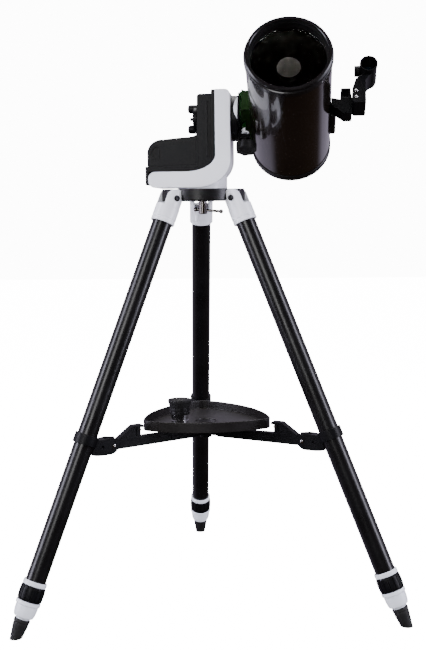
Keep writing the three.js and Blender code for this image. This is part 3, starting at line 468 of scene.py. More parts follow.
def add_studio():
    deselect()
    bpy.ops.mesh.primitive_plane_add(size=14, location=(0, 2, -0.0004))
    floor = bpy.context.object
    floor.name = "studio_floor"
    material = finish("pale_floor", (0.90, 0.90, 0.905), (0.93, 0.93, 0.935), (0.75, 0.85),
                      200, 0.02, 0.05, patch=1.5)
    coat = material.node_tree.nodes["Principled BSDF"]
    coat.inputs["Emission Color"].default_value = (1, 1, 1, 1)
    coat.inputs["Emission Strength"].default_value = GLOW
    floor.data.materials.append(material)
    floor.visible_diffuse = False
    floor.visible_glossy = False
    add_surroundings()
    add_softbox("left_softbox", (-2.3, -0.9, 1.3), (0, 0, 0.6), (0.8, 2.4), 84, (0.86, 0.85, 1.0))
    add_softbox("right_softbox", (2.5, -0.7, 1.2), (0, 0, 0.6), (0.8, 2.4), 76, (0.86, 0.85, 1.0))
    add_softbox("top_softbox", (0.2, 0.6, 2.9), (0, 0, 0.6), (2.4, 1.4), 96)
    add_softbox("front_softbox", (-0.7, -3.0, 1.5), (0, 0, 0.6), (1.0, 1.6), 40)


def add_surroundings():
    """a white backdrop for the eye, soft fill, and a lilac-grey room behind for reflections"""
    world = bpy.data.worlds.new("studio")
    world.use_nodes = True
    bpy.context.scene.world = world
    nodes, links = world.node_tree.nodes, world.node_tree.links
    seen = nodes.new("ShaderNodeBackground")
    seen.inputs["Strength"].default_value = GLOW + 1.2
    fill = nodes.new("ShaderNodeBackground")
    fill.inputs["Color"].default_value = (0.93, 0.93, 1.0, 1)
    fill.inputs["Strength"].default_value = 0.85
    around = nodes.new("ShaderNodeTexCoord")
    split = nodes.new("ShaderNodeSeparateXYZ")
    links.new(around.outputs["Generated"], split.inputs[0])
    tilted = nodes.new("ShaderNodeMath")
    tilted.operation = "MULTIPLY_ADD"
    tilted.inputs[1].default_value = -0.34
    links.new(split.outputs["X"], tilted.inputs[0])
    links.new(split.outputs["Z"], tilted.inputs[2])
    above = spread(nodes, links, tilted.outputs[0], 0, 1, -0.6, -0.44)
    behind = spread(nodes, links, split.outputs["Y"], 0, 1, -0.3, 0.4)
    both = nodes.new("ShaderNodeMath")
    both.operation = "MULTIPLY"
    links.new(above, both.inputs[0])
    links.new(behind, both.inputs[1])
    room = nodes.new("ShaderNodeBackground")
    shade = blend_colour(nodes, links, both.outputs[0], (0.035, 0.022, 0.015), (0.40, 0.36, 0.46))
    links.new(shade, room.inputs["Color"])
    path = nodes.new("ShaderNodeLightPath")
    reflected = nodes.new("ShaderNodeMixShader")
    links.new(path.outputs["Is Glossy Ray"], reflected.inputs["Fac"])
    links.new(fill.outputs[0], reflected.inputs[1])
    links.new(room.outputs[0], reflected.inputs[2])
    mix = nodes.new("ShaderNodeMixShader")
    links.new(path.outputs["Is Camera Ray"], mix.inputs["Fac"])
    links.new(reflected.outputs[0], mix.inputs[1])
    links.new(seen.outputs[0], mix.inputs[2])
    links.new(mix.outputs[0], nodes["World Output"].inputs["Surface"])


add_camera()
add_studio()


# ---------------------------------------------------------------- small repeated hardware
def socket_screw(name, radius, height):
    """a round-headed screw with a hexagonal socket, standing on z = 0"""
    head = spun(name, [(0, 0), (radius, 0), (radius, height * 0.55), (radius * 0.86, height * 0.85),
                       (radius * 0.55, height), (0, height)], 32)
    wrench = radius * 0.5
    hexagon = slab("hexagon", arc(0, 0, wrench, 0, 300, 5), height * 1.2, False)
    move(hexagon, z=height * 0.45)
    return eased(cut(head, hexagon), 0.12, 2)


def cross_screw(name, radius, height):
    """a pan-headed screw with a cross recess, standing on z = 0"""
    head = spun(name, [(0, 0), (radius, 0), (radius, height * 0.4), (radius * 0.8, height * 0.8),
                       (radius * 0.45, height), (0, height)], 28)
    slot_width = radius * 0.16
    reach = radius * 0.55
    first = block("slot", (-reach, reach), (-slot_width, slot_width), (height * 0.45, height * 1.3))
    second = block("slot", (-slot_width, slot_width), (-reach, reach), (height * 0.45, height * 1.3))
    return cut(head, first, second)


# ---------------------------------------------------------------- tripod head, bolt and bar
head_low, head_high = (Vector(c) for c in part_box("tripod_head"))
HEAD_TOP = head_high.z / MM
HEAD_BOTTOM = head_low.z / MM


def add_tripod_head():
    core = spun("tripod_head_casting", [(0, HEAD_BOTTOM), (60, HEAD_BOTTOM), (62, HEAD_BOTTOM + 2),
                                        (62, HEAD_TOP), (0, HEAD_TOP)])
    for side in SIDES:
        room = block("ear_room", (50.4, 90), (-21.8, 21.8), (HEAD_BOTTOM - 5, HEAD_TOP + 5))
        cut(core, turn(room, "Z", radial_heading(side)))
    for side in SIDES:
        lobe = slab("lobe", [(20, -12.5), (74, -12.5)] + arc(74, -7.5, 5, -90, 0, 4)
                    + arc(74, 7.5, 5, 0, 90, 4) + [(20, 12.5)], HEAD_TOP - HEAD_BOTTOM, False)
        move(lobe, z=HEAD_BOTTOM)
        join(core, turn(lobe, "Z", radial_heading(side)))
    bore = spun("bore", [(0, HEAD_BOTTOM - 9), (5.2, HEAD_BOTTOM - 9), (5.2, HEAD_TOP + 9),
                         (0, HEAD_TOP + 9)], 24)
    recess = spun("recess", [(0, HEAD_BOTTOM - 9), (30, HEAD_BOTTOM - 9), (30, HEAD_BOTTOM + 1.5),
                             (0, HEAD_BOTTOM + 1.5)], 64)
    cut(core, bore, recess)
    eased(core, 1.1, 3)
    finished(core, STAND, "tripod", BLACK_METAL, ["tripod_head"])
    for side in SIDES:
        for way in (-1, 1):
            bolt = socket_screw(f"{side}_hinge_bolt_{'a' if way < 0 else 'b'}", 5.4, 3.6)
            turn(bolt, "X", -90 * way)
            move(bolt, hinge_x, way * 20.4, hinge_z)
            turn(bolt, "Z", radial_heading(side))
            finished(bolt, STAND, "tripod", BLACK_STEEL)


def radial_heading(side):
    out = joint_axis(f"{side}_leg_fold").cross(UP)
    return atan2(out.y, out.x) * 180 / pi


hinge_offset = joint_point("left_leg_fold") - stand_foot
hinge_x = Vector((hinge_offset.x, hinge_offset.y)).length / MM
hinge_z = hinge_offset.z / MM


def add_bolt():
    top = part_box("mounting_bolt")[1][2] / MM
    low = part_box("mounting_bolt")[0][2] / MM
    grip = low + 22.7
    bolt = spun("mounting_bolt_turned", [
        (0, low), (6.2, low), (7.5, low + 1.2), (7.5, low + 9.5), (7.5, grip - 3), (7.5, grip),
        (4.6, grip), (4.6, top - 1.5), (3.6, top), (0, top)], FINE)
    hole = spun("hole", [(0, -20), (2.7, -20), (2.7, 20), (0, 20)], 24)
    turn(hole, "Y", 90 + 5)
    bar_height = middle_of("bolt_bar").z / MM
    move(hole, z=bar_height + 0.9)
    cut(bolt, hole)
    finished(eased(bolt, 0.3), STAND, "bolt", SHADED_BOLT_CHROME, ["mounting_bolt"])
    thread = spun("mounting_bolt_thread", [(3.9, grip + 22), (4.62, grip + 22.3), (4.62, top - 2.4),
                                           (3.9, top - 2)], 32)
    finished(thread, STAND, "bolt", STEEL)
    ball = 3.9
    neck = sqrt(ball ** 2 - 2.3 ** 2)
    reach = 23
    lower = [(ball * sin(t), -reach - ball * cos(t)) for t in
             [radians(8 + 17 * i) for i in range(8)]]
    upper = [(r, -z) for r, z in reversed(lower)]
    profile = [(0, -reach - ball)] + lower + [(2.3, -reach + neck + 0.2), (2.3, reach - neck - 0.2)]
    profile += upper + [(0, reach + ball)]
    bar = turn(spun("bolt_cross_bar", profile, 32), "Y", 90 + 5)
    bar_middle = middle_of("bolt_bar")
    place = Matrix.Translation(bar_middle)
    finished(bar, place, "bar", SHADED_BOLT_CHROME, ["bolt_bar"])


# ---------------------------------------------------------------- one leg
TUBE_R = 17.6


def add_leg(side):
    place = leg_place(side)
    body = f"{side}_leg"
    yoke = spun(f"{side}_yoke", [
        (17.9, 21), (17.9, 46), (20.6, 46), (21.4, 45.2), (21.4, 40), (20.8, 39.4), (20.8, 37.8),
        (21.4, 37.2), (21.4, 16.4), (20.2, 15), (0, 15), (0, 21)], 72)
    ears = turn(slab("ears", arc(0, 0, 16, 0, 180, 20) + [(-16, -17), (16, -17)], 44), "X", 90)
    turn(ears, "X", 180)
    combine(ears, [spun("round", [(0, -20), (21.4, -20), (21.4, 20), (0, 20)], 72)], "INTERSECT")
    slot = block("slot", (-30, 30), (-12.9, 12.9), (-30, 15))
    cut(ears, slot)
    join(yoke, ears)
    eased(yoke, 0.8, 3)
    finished(yoke, place, body, WHITE_PLASTIC, [f"{side}_leg_yoke"])

    tube = spun(f"{side}_upper_tube", [(16.1, 21), (17.2, 21), (TUBE_R, 21.6), (TUBE_R, 705.4),
                                       (17.2, 706), (16.1, 706)], 72)
    finished(tube, place, body, LEG_PAINT, [f"{side}_leg_tube"])

    collar = spun(f"{side}_collar", [(17.9, 698), (19.6, 698), (20.6, 699.1), (20.6, 704.9),
                                     (19.9, 706), (17.9, 706)], 72)
    finished(eased(collar, 0.3), place, body, WHITE_RING, [f"{side}_leg_collar"])

    add_grip(side, place)
    add_foot(side, place)
    add_band(side, place)


def add_grip(side, place):
    low, high = 706.3, 732.3
    ribs = 16
    rows = [(low, 19.8), (low + 1.4, 20.9), (low + 5, 21.5), (low + 13, 21.9), (high - 5, 21.5),
            (high - 1.4, 20.9), (high, 19.8)]
    grip = spun(f"{side}_lock_grip", [(15.0, low)] + [(r, z) for z, r in rows] + [(15.0, high)],
                ribs * 6)
    only(grip)
    bpy.ops.object.mode_set(mode="EDIT")
    bpy.ops.mesh.select_mode(type="FACE")
    bpy.ops.mesh.select_all(action="DESELECT")
    bpy.ops.object.mode_set(mode="OBJECT")
    for face in grip.data.polygons:
        centre = face.center / MM
        around = (atan2(centre.y, centre.x) / (2 * pi) * ribs) % 1
        rim = sqrt(centre.x ** 2 + centre.y ** 2)
        face.select = rim > 20.9 and low + 2 < centre.z < high - 2 and around < 0.34
    bpy.ops.object.mode_set(mode="EDIT")
    bpy.ops.mesh.extrude_region_shrink_fatten(TRANSFORM_OT_shrink_fatten={"value": -1.1 * MM})
    bpy.ops.object.mode_set(mode="OBJECT")
    finished(eased(grip, 0.25, 2), place, f"{side}_lock", BLACK_PLASTIC,
             [f"{side}_leg_lock"])


def add_foot(side, place):
    body = f"{side}_foot"
    tube = spun(f"{side}_sliding_tube", [(13.1, 320), (14.6, 320), (14.6, 751), (13.1, 751)], 56)
    finished(tube, place, body, LEG_PAINT, [f"{side}_lower_tube"])
    top = 732.6
    cup = spun(f"{side}_foot_cup_moulding", [
        (14.9, top), (20.2, top), (21.2, top + 1), (21.2, top + 5.6), (20.4, top + 6.6),
        (18.9, top + 7.2), (19.4, top + 9), (19.2, top + 16), (18.2, top + 23), (16.8, top + 27),
        (14.2, top + 28.6), (11.5, top + 29.2), (11.5, top + 38), (0, top + 38), (0, top + 19.3),
        (14.9, top + 19.3)], 72)
    finished(eased(cup, 0.35), place, body, WHITE_RING, [f"{side}_foot_cup"])
    tip = spun(f"{side}_rubber_tip", [
        (0, 771), (11.8, 771), (11.8, 763.8), (13.6, 763.8), (14.0, 765), (14.0, 769), (13.1, 770),
        (13.1, 772), (13.5, 773), (12.4, 781), (11.9, 781.6), (12.0, 783), (8.7, 806), (0, 811)], 56)
    placed(tip, place)
    bpy.ops.object.mode_set(mode="EDIT")
    bpy.ops.mesh.select_all(action="SELECT")
    bpy.ops.mesh.bisect(plane_co=(0, 0, 0.00005), plane_no=(0, 0, 1), use_fill=True,
                        clear_inner=True)
    bpy.ops.object.mode_set(mode="OBJECT")
    finished(tip, Matrix(), body, RUBBER, [f"{side}_foot_tip"])


LUG_X = (joint_point("left_arm_swing") - stand_foot).xy.length / MM
LUG_Z = joint_point("left_arm_swing").z / MM


def add_band(side, place):
    body = f"{side}_leg"
    radial = radial_place(side)
    at = 447
    hoop = spun("hoop", [(17.9, at - 9), (20.6, at - 9), (21.1, at - 8.4), (21.1, at + 8.4),
                         (20.6, at + 9), (17.9, at + 9)], 72)
    lug_points = [(LUG_X - 10, LUG_Z + 12), (LUG_X - 10, LUG_Z - 3)]
    lug_points += arc(LUG_X + 7, LUG_Z + 1, 17, 200, 270, 6, 16)
    lug_points += arc(LUG_X + 22, LUG_Z, 34, 270, 318, 5, 15)
    lug_points += [(LUG_X + 52, LUG_Z + 12), (LUG_X + 52, LUG_Z + 20), (LUG_X + 26, LUG_Z + 13),
                   (LUG_X + 8, LUG_Z + 14.5)]
    lug = turn(slab(f"{side}_band_and_lug", lug_points, 20.8), "X", 90)
    gap = block("gap", (LUG_X - 30, LUG_X + 16), (-7.4, 7.4), (LUG_Z - 40, LUG_Z + 40))
    hole = turn(spun("hole", [(0, -20), (2.6, -20), (2.6, 20), (0, 20)], 24), "X", 90)
    move(hole, LUG_X + 22, 0, LUG_Z)
    pocket = block("pocket", (LUG_X + 29, LUG_X + 36), (-4, 4), (LUG_Z - 20, LUG_Z - 2))
    cut(lug, gap, hole, pocket)
    placed(lug, place.inverted() @ radial)
    eased(lug, 0.6, 2)
    leg_space = spun("leg_space", [(0, at - 60), (19, at - 60), (19, at + 60), (0, at + 60)], 72)
    cut(lug, leg_space)
    join(lug, hoop)
    finished(lug, place, body, BLACK_PLASTIC, [f"{side}_leg_band"])
    for way in (-1, 1):
        rivet = socket_screw(f"{side}_lug_pin_{'a' if way < 0 else 'b'}", 3.1, 1.6)
        turn(rivet, "X", -90 * way)
        move(rivet, LUG_X, way * 10.4, LUG_Z)
        finished(rivet, radial, body, CHROME)


def add_arm(side):
    radial = radial_place(side)
    top = LUG_Z + 9.5
    peak = LUG_Z + 30
    points = [(26, LUG_Z + 8), (26, LUG_Z - 6), (28, LUG_Z - 7)]
    points += arc(LUG_X, LUG_Z, 8.5, -90, 70, 10)
    points += [(184, top + 0.2), (156, peak - 1), (153, peak), (136, peak), (134, peak - 2),
               (134, peak - 5), (140, peak - 5), (140, top), (120, top)]
    arm = turn(slab(f"{side}_spreader_arm_moulding", points, 14), "X", 90)
    fork = block("fork", (0, 70), (-3.8, 3.8), (LUG_Z - 30, LUG_Z + 30))
    cut(arm, fork)
    for way in (-1, 1):
        web = slab("web", [(148, top + 1.5), (172, top + 1.5), (155, peak - 4), (147, peak - 4)], 3)
        turn(web, "X", 90)
        move(web, y=way * 7)
        channel = block("channel", (78, 176), (way * 7 - 1.2, way * 7 + 1.2), (LUG_Z - 4, LUG_Z + 6))
        cut(arm, web, channel)
    eased(arm, 0.45, 2)
    finished(arm, radial, f"{side}_arm", BLACK_PLASTIC, [f"{side}_spreader_arm"])
    pin = turn(spun(f"{side}_hook_pin", [(0, -7.6), (1.9, -7.6), (2.3, -7.1), (2.3, 7.1), (1.9, 7.6),
                                         (0, 7.6)], 24), "X", 90)
    move(pin, 141.2, 0, peak - 8.5)
    finished(pin, radial, f"{side}_arm", CHROME)


# ---------------------------------------------------------------- hub and tray
TRAY_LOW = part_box("tray")[0][2] / MM
TRAY_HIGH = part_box("tray")[1][2] / MM


def tray_outline(inset, steps=14):
    reach, corner, side_reach = 127.5, 22, 97
    centre = reach - corner
    side = side_reach - corner
    back = (centre ** 2 - side ** 2) / (2 * side - centre)
    half = atan2(centre * sin(radians(60)), centre * cos(radians(60)) + back) * 180 / pi
    points = []
    for name in ("rear", "left", "right"):
        heading = radial_heading(name)
        mid = heading + 60
        points += arc(centre * cos(radians(heading)), centre * sin(radians(heading)), corner - inset,
                      mid - 120 + half, mid - half, steps)[:-1]
        points += arc(-back * cos(radians(mid)), -back * sin(radians(mid)),
                      side + back + corner - inset, mid - half, mid + half, steps)[:-1]
    return points


def add_tray():
    floor_top = TRAY_LOW + 3
    tray = slab("accessory_tray", tray_outline(0), TRAY_HIGH - TRAY_LOW, False)
    move(tray, z=TRAY_LOW)
    well = move(slab("well", tray_outline(2.4), 30, False), z=floor_top)
    hole = spun("hole", [(0, TRAY_LOW - 4), (18.6, TRAY_LOW - 4), (18.6, TRAY_HIGH), (0, TRAY_HIGH)], 72)
    cut(tray, well, hole)
    eased(tray, 0.7, 3)
    finished(tray, STAND, "tray_body", TRAY_PLASTIC, ["tray"])
    bead = spun("tray_hole_bead", [(18.7, floor_top - 0.2), (20.6, floor_top - 0.2),
                                   (20.2, floor_top + 0.8), (19.1, floor_top + 0.9)], 72)
    finished(bead, STAND, "tray_body", TRAY_PLASTIC)
    hub = refined("spreader_hub", "spreader_hub_casting", 0.5, 2)
    finished(hub, Matrix(), "spreader", BLACK_PLASTIC, ["spreader_hub"])
    cap = spun("hub_cap", [(0, floor_top - 1.1), (17.4, floor_top - 1.1), (17.4, floor_top - 0.9),
                           (16.2, floor_top - 0.3), (6, floor_top - 0.3), (5, floor_top - 0.55),
                           (0, floor_top - 0.55)], 64)
    finished(cap, STAND, "spreader", BLACK_METAL)


def add_eyepiece(prefix, place, body, barrel_length, node):
    """an eyepiece standing on the end of its barrel"""
    base = barrel_length
    barrel = spun(f"{prefix}_barrel", [
        (14.2, 0), (15.4, 0), (15.85, 0.5), (15.85, base * 0.42), (15.3, base * 0.45),
        (15.3, base * 0.62), (15.85, base * 0.65), (15.85, base), (14.2, base)], 64)
    finished(barrel, place, body, CHROME, [node])
    housing = spun(f"{prefix}_housing", [
        (0, base), (17.4, base), (18.4, base + 1), (18.4, base + 5), (17.7, base + 5.5),
        (17.7, base + 6.6), (18.4, base + 7.1), (18.4, base + 12), (17.2, base + 13),
        (17.2, base + 22), (9.4, base + 22), (9.4, base + 19), (0, base + 19)], 64)
    finished(eased(housing, 0.25, 2), place, body, BLACK_METAL)
    cup = spun(f"{prefix}_eyecup", [
        (17.4, base + 12.6), (18.3, base + 12.6), (18.6, base + 13.4), (20.4, base + 20),
        (21.4, base + 23.6), (21.4, base + 26), (20.7, base + 26.9), (19.2, base + 26.9),
        (17.8, base + 25.4), (11.2, base + 22.3), (17.4, base + 22.2)], 72)
    finished(cup, place, body, RUBBER)
    lens = spun(f"{prefix}_eye_lens", [(0, base + 19.2), (9.2, base + 19.2), (9.2, base + 19.8),
                                       (6, base + 20.6), (3, base + 20.95), (0, base + 21.05)], 48)
    finished(lens, place, body, EYE_LENS)


# ---------------------------------------------------------------- mount
shell_low, shell_high = (Vector(c) - stand_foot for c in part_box("mount_shell"))
SHELL_L, SHELL_R = shell_low.x / MM, shell_high.x / MM
SHELL_B, SHELL_T = shell_low.z / MM, shell_high.z / MM
HALF = shell_high.y / MM
BAND_L = SHELL_R - 26.4
BAND_END = SHELL_L + 2.8  # the white casting stops here, against the dark end strip
ARM_T = SHELL_B + 28
BLOCK_L = BAND_L - 32
BORDER_T = ARM_T + 9.3
ALT_Z = altitude.z / MM


def upright(name, points, depth):
    """an outline in x and height, given a depth from front to back"""
    return turn(slab(name, points, depth), "X", 90)


def shell_outline():
    points = arc(SHELL_R - 60, SHELL_B + 49, 60, -90, 0, 22, 49)
    points += arc(SHELL_R - 9, SHELL_T - 9, 9, 0, 90, 8)
    points += [(BAND_L, SHELL_T)]
    points += arc(BAND_L - 52, ARM_T + 29, 52, 0, -90, 18, 29)
    points += arc(BAND_END + 12, ARM_T - 12, 12, 90, 180, 7)
    points += arc(BAND_END + 12, SHELL_B + 12, 12, 180, 270, 7)
    return points


def add_mount():
    base_low, base_high = (c[2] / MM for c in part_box("azimuth_base"))
    base = spun("azimuth_base_turned", [
        (5.1, base_low), (43.6, base_low), (44.5, base_low + 0.9), (44.5, base_low + 4),
        (43.9, base_low + 4.5), (43.9, base_low + 5.6), (44.5, base_low + 6.1), (44.5, base_high - 1),
        (43.5, base_high), (0, base_high), (0, base_high - 12), (5.1, base_high - 12)])
    finished(base, STAND, "tripod", WHITE_PLASTIC, ["azimuth_base"])

    shell = upright("mount_shell_casting", shell_outline(), 2 * HALF)
    seat = spun("seat", [(0, SHELL_B - 9), (44.95, SHELL_B - 9), (44.95, base_high + 0.3),
                         (0, base_high + 0.3)])
    bore = move(turn(spun("bore", [(0, -60), (39, -60), (39, -55), (9, -55), (9, 80), (0, 80)], 64),
                     "Y", 90), z=ALT_Z)
    cut(shell, seat, bore)
    eased(shell, 2.8, 5)
    finished(shell, STAND, "mount", WHITE_PLASTIC, ["mount_shell"])

    add_housing()
    add_door()
    add_clutch()


def add_housing():
    right = BAND_L - 0.3
    bottom = ARM_T + 0.3
    rim = right - 6
    points = [(right, SHELL_T - 0.4), (rim + 1, SHELL_T - 0.4), (rim, SHELL_T - 1.4),
              (rim - 0.8, SHELL_T - 7.5)]
    points += arc(BLOCK_L + 6, SHELL_T - 12.5, 5.4, 90, 172, 6, 5)
    points += [(BLOCK_L, ALT_Z - 22), (BLOCK_L, BORDER_T), (SHELL_L - 1.3, BORDER_T),
               (SHELL_L - 2.3, BORDER_T - 1), (SHELL_L - 2.3, SHELL_B + 6), (SHELL_L - 1.8, SHELL_B + 5),
               (BAND_END - 0.3, SHELL_B + 5), (BAND_END - 0.3, bottom)]
    points += arc(BAND_L - 52, ARM_T + 29, 51.7, -90, 0, 18, 28.7)
    depth = 2 * HALF - 3
    housing = upright("mount_housing_moulding", points, depth)
    groove = upright("groove", [(rim - 2.2, SHELL_T + 4), (rim - 0.9, SHELL_T + 4),
                                (rim - 0.9, BORDER_T + 14), (rim - 2.2, BORDER_T + 14)], depth + 4)
    core = upright("core", [(rim - 12, SHELL_T + 20), (rim, SHELL_T + 20), (rim, BORDER_T),
                            (rim - 12, BORDER_T)], depth - 3)
    cut(groove, core)
    cut(housing, groove)
    eased(housing, 1.3, 3)
    finished(housing, STAND, "mount", BLACK_PLASTIC, ["mount_housing"])
    for way in (-1, 1):
        name = "front" if way < 0 else "back"
        rib = block(f"housing_{name}_rib", (rim - 9.5, rim - 6.2), (-0.75, 0.75),
                    (BORDER_T + 16, SHELL_T - 20))
        move(rib, y=way * (depth / 2 + 0.35))
        finished(eased(rib, 0.6, 3), STAND, "mount", BLACK_PLASTIC)
    holder = refined("battery_holder", "battery_holder_moulding", 0.8, 2)
    finished(holder, Matrix(), "mount", BLACK_PLASTIC, ["battery_holder"])


def door_outline(inset, spare=0):
    """the battery door from the front; spare runs the outline on past its open sides"""
    left, right = -92.4 + inset, BLOCK_L - 0.3
    low = BORDER_T + 0.3
    points = [(left, low - spare), (right + spare, low - spare), (right + spare, low + 55.6 - inset)]
    points += [(right, low + 55.6 - inset)] if spare else []
    points += [(right - 2, low + 53.2 - inset), (right - 6, low + 51.4 - inset),
               (right - 13, low + 50.2 - inset), (right - 32, low + 49 - inset),
               (right - 58, low + 46.6 - inset)]
    points += arc(left + 26, low + 22, 26 - inset, 80, 180, 14, 24.4 - inset)
    return points


def add_door():
    depth = 2 * HALF - 3
    door = upright("battery_door_moulding", door_outline(0), depth)
    cut(door, upright("inner", door_outline(2.6, 3), depth - 5.2))
    middle = BORDER_T + 23
    for way in (-1, 1):
        pull = turn(slab("pull", arc(-73, middle, 12.4, 90, 270, 14), 5), "X", 90)
        move(pull, y=way * depth / 2)
        cut(door, pull)
    eased(door, 1.8, 4)
    finished(door, STAND, "door", BLACK_PLASTIC, ["battery_door"])
    for way in (-1, 1):
        name = "front" if way < 0 else "back"
        lip = block(f"door_{name}_lip", (-72.6, -71.2), (-0.7, 0.7), (middle - 10.5, middle + 11))
        move(lip, y=way * (depth / 2 + 0.2))
        finished(eased(lip, 0.5, 3), STAND, "door", BLACK_PLASTIC)


def add_clutch():
    place = STAND @ Matrix.Translation(Vector((0, 0, ALT_Z)) * MM)
    face = BLOCK_L - 2.5
    knob = spun("clutch_knob_moulding", [
        (0, -1.6), (8, -1.6), (8, 0), (19.6, 0), (21, 1.2), (21, 6), (19.6, 7.4), (11, 7.4), (9, 6.6),
        (4.2, 6.6), (4.2, 7.4), (2.8, 7.4), (2.8, 13), (2.3, 13.5), (0, 13.5)], 80)
    for way in (-1, 1):
        grip = spun("grip", [(0, 0.4), (7.2, 0.4), (7.6, 1.2), (7.6, 12), (7.2, 14.6), (6, 16.5),
                             (4, 17.4), (0, 17.6)], 48)
        join(knob, move(grip, x=way * 17.9))
    eased(knob, 0.5, 3)
    turn(knob, "Y", -90)
    move(knob, x=face)
    finished(knob, place, "clutch_knob", BLACK_PLASTIC, ["altitude_clutch_knob"])


# ---------------------------------------------------------------- altitude hub, saddle, dovetail
KNOB_X = 80.4  # clamp screw, out from the tripod's axis
SIDEWAYS = Matrix.Rotation(radians(90), 4, "Y")  # turns a piece's z axis to point right


HUB_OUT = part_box("altitude_hub")[1][0] / MM - stand.x / MM


def add_hub():
    inner = SHELL_R + 0.4
    hub = spun("altitude_hub_turned", [
        (0, -3), (8, -3), (8, inner), (39, inner), (40, inner + 1), (40, HUB_OUT - 1.4),
        (39, HUB_OUT - 0.2), (0, HUB_OUT - 0.2)])
    finished(hub, TILT @ SIDEWAYS, "altitude", BLACK_PLASTIC, ["altitude_hub"])
    wheel = refined("altitude_worm_wheel", "worm_wheel", 0.3, 2)
    finished(wheel, Matrix(), "altitude", BRASS, ["altitude_worm_wheel"])


def add_saddle():
    inner = HUB_OUT + 0.3
    split = inner + 3.2
    outer = inner + 6.4
    bar_face = outer + 0.4
    slope = bar_face + 6
    plate = slab("saddle_plate", [(split, -31), (outer, -31), (outer, 22.6), (bar_face, 22.4),
                                  (slope, 19.4), (slope + 1, 19.4), (slope + 1, 27), (split, 27)], 90)
    for at in (-26, 0, 26):
        window = block("window", (outer - 3, slope + 9), (23.5, 25.6), (at - 8, at + 8))
        cut(plate, window)
    for low in (-14, 8):
        window = block("window", (split + 0.8, outer - 0.8), (low, low + 9), (38, 50))
        cut(plate, window)
    behind = block("behind", (split - 1, slope + 9), (-40, -20), (-60, 60))
    lower = block("lower", (split - 1, slope + 9), (-40, -12), (-60, 14))
    cut(plate, behind, lower)
    eased(plate, 0.7, 3)
    finished(plate, TILT, "altitude", GREEN_METAL, ["saddle"])

    casting = slab("saddle_casting", [(inner, -31), (split - 0.05, -31), (split - 0.05, 26),
                                      (inner, 26)], 88)
    lug = slab("lug", [(inner, -46), (inner + 20, -46), (inner + 20, -38), (inner + 6.2, -37),
                       (inner + 6.2, -29), (inner, -29)], 22)
    join(casting, lug)
    hole = turn(spun("hole", [(0, 20), (3.4, 20), (3.4, 60), (0, 60)], 32), "X", 90)
    move(hole, KNOB_X)
    cut(casting, hole)
    eased(casting, 0.9, 3)
    finished(casting, TILT, "altitude", BLACK_PLASTIC)
    flange = slab("saddle_front_flange", arc(inner + 29, -7, 36, 144, 216, 16), 4.4)
    move(flange, z=46.8)
    finished(eased(flange, 0.9, 3), TILT, "altitude", WHITE_PLASTIC)
    boss = turn(spun("saddle_screw_boss", [(3.4, 23), (5.6, 23), (6.6, 24.4), (6.6, 36.4), (6, 37.6),
                                           (3.4, 37.6)], 48), "X", 90)
    move(boss, KNOB_X - 0.6, 0, 11.5)
    bar_room = block("bar_room", (KNOB_X - 1.2, 99), (-36, 40), (-60, 60))
    cut(boss, bar_room)
    finished(boss, TILT, "altitude", WHITE_PLASTIC)
    jaw = refined("saddle_jaw", "saddle_jaw_casting", 0.7, 3)
    finished(jaw, Matrix(), "jaw", GREEN_METAL, ["saddle_jaw"])

    knob = slab("saddle_knob_moulding", lobed(18.6, 2.4, 7, 10), 14)
    dish = spun("dish", [(0, -9), (11, -9), (10, -5.4), (0, -5.4)], 48)
    cut(knob, dish)
    eased(knob, 1.7, 4)
    turn(knob, "X", -90)
    move(knob, KNOB_X, -59, 0)
    finished(knob, TILT, "saddle_knob", RUBBER, ["saddle_knob"])
    screw = spun("saddle_knob_screw", [(0, 0), (2.9, 0), (2.9, 21.2), (2.3, 21.8), (0, 21.8)], 32)
    turn(screw, "X", -90)
    move(screw, KNOB_X, -52.2, 0)
    finished(screw, TILT, "saddle_knob", STEEL)


def add_dovetail():
    face = HUB_OUT + 7.1
    slope = face + 6
    side = optical_x / MM - stand.x / MM - 71
    bar = slab("dovetail_bar_extrusion", [
        (face, -22), (slope, -19), (side + 8, -19), (side + 8, 19), (slope, 19), (face, 22),
        (face, 6), (face + 1.6, 5), (face + 1.6, -5), (face, -6)], 140)
    move(bar, z=-10)
    for at in (-66, 46):
        hole = turn(spun("hole", [(0, -9), (4.2, -9), (4.2, 3), (0, 3)], 32), "Y", 90)
        move(hole, face + 1, 0, at)
        cut(bar, hole)
    space = move(spun("space", [(0, -200), (71.3, -200), (71.3, 200), (0, 200)], 128), side + 71)
    cut(bar, space)
    eased(bar, 0.5, 2)
    finished(bar, TILT, "telescope", GREEN_BAR, ["dovetail_bar"])
    for index, at in enumerate((-66, 46)):
        screw = turn(socket_screw(f"dovetail_screw_{index}", 3.8, 2.4), "Y", -90)
        move(screw, face + 3.8, 0, at)
        finished(screw, TILT, "telescope", STEEL)


# ---------------------------------------------------------------- telescope; z runs forward
FRONT = 193.5
REAR = -102.3
RIM = FRONT - 16


def sagged(radius, curve):
    return curve - sqrt(curve ** 2 - radius ** 2)


def add_tube():
    tube = spun("main_tube_lacquered", [
        (69.6, -84), (70.7, -84), (71, -83.7), (71, RIM - 0.5), (70.7, RIM - 0.2), (69.6, RIM - 0.2)],
        160)
    finished(tube, TUBE, "telescope", TUBE_PAINT, ["main_tube"])
    lining = spun("tube_lining", [(69.0, -83), (69.5, -83), (69.5, 158), (69.0, 158)], 96)
    finished(lining, TUBE, "telescope", FLOCK)


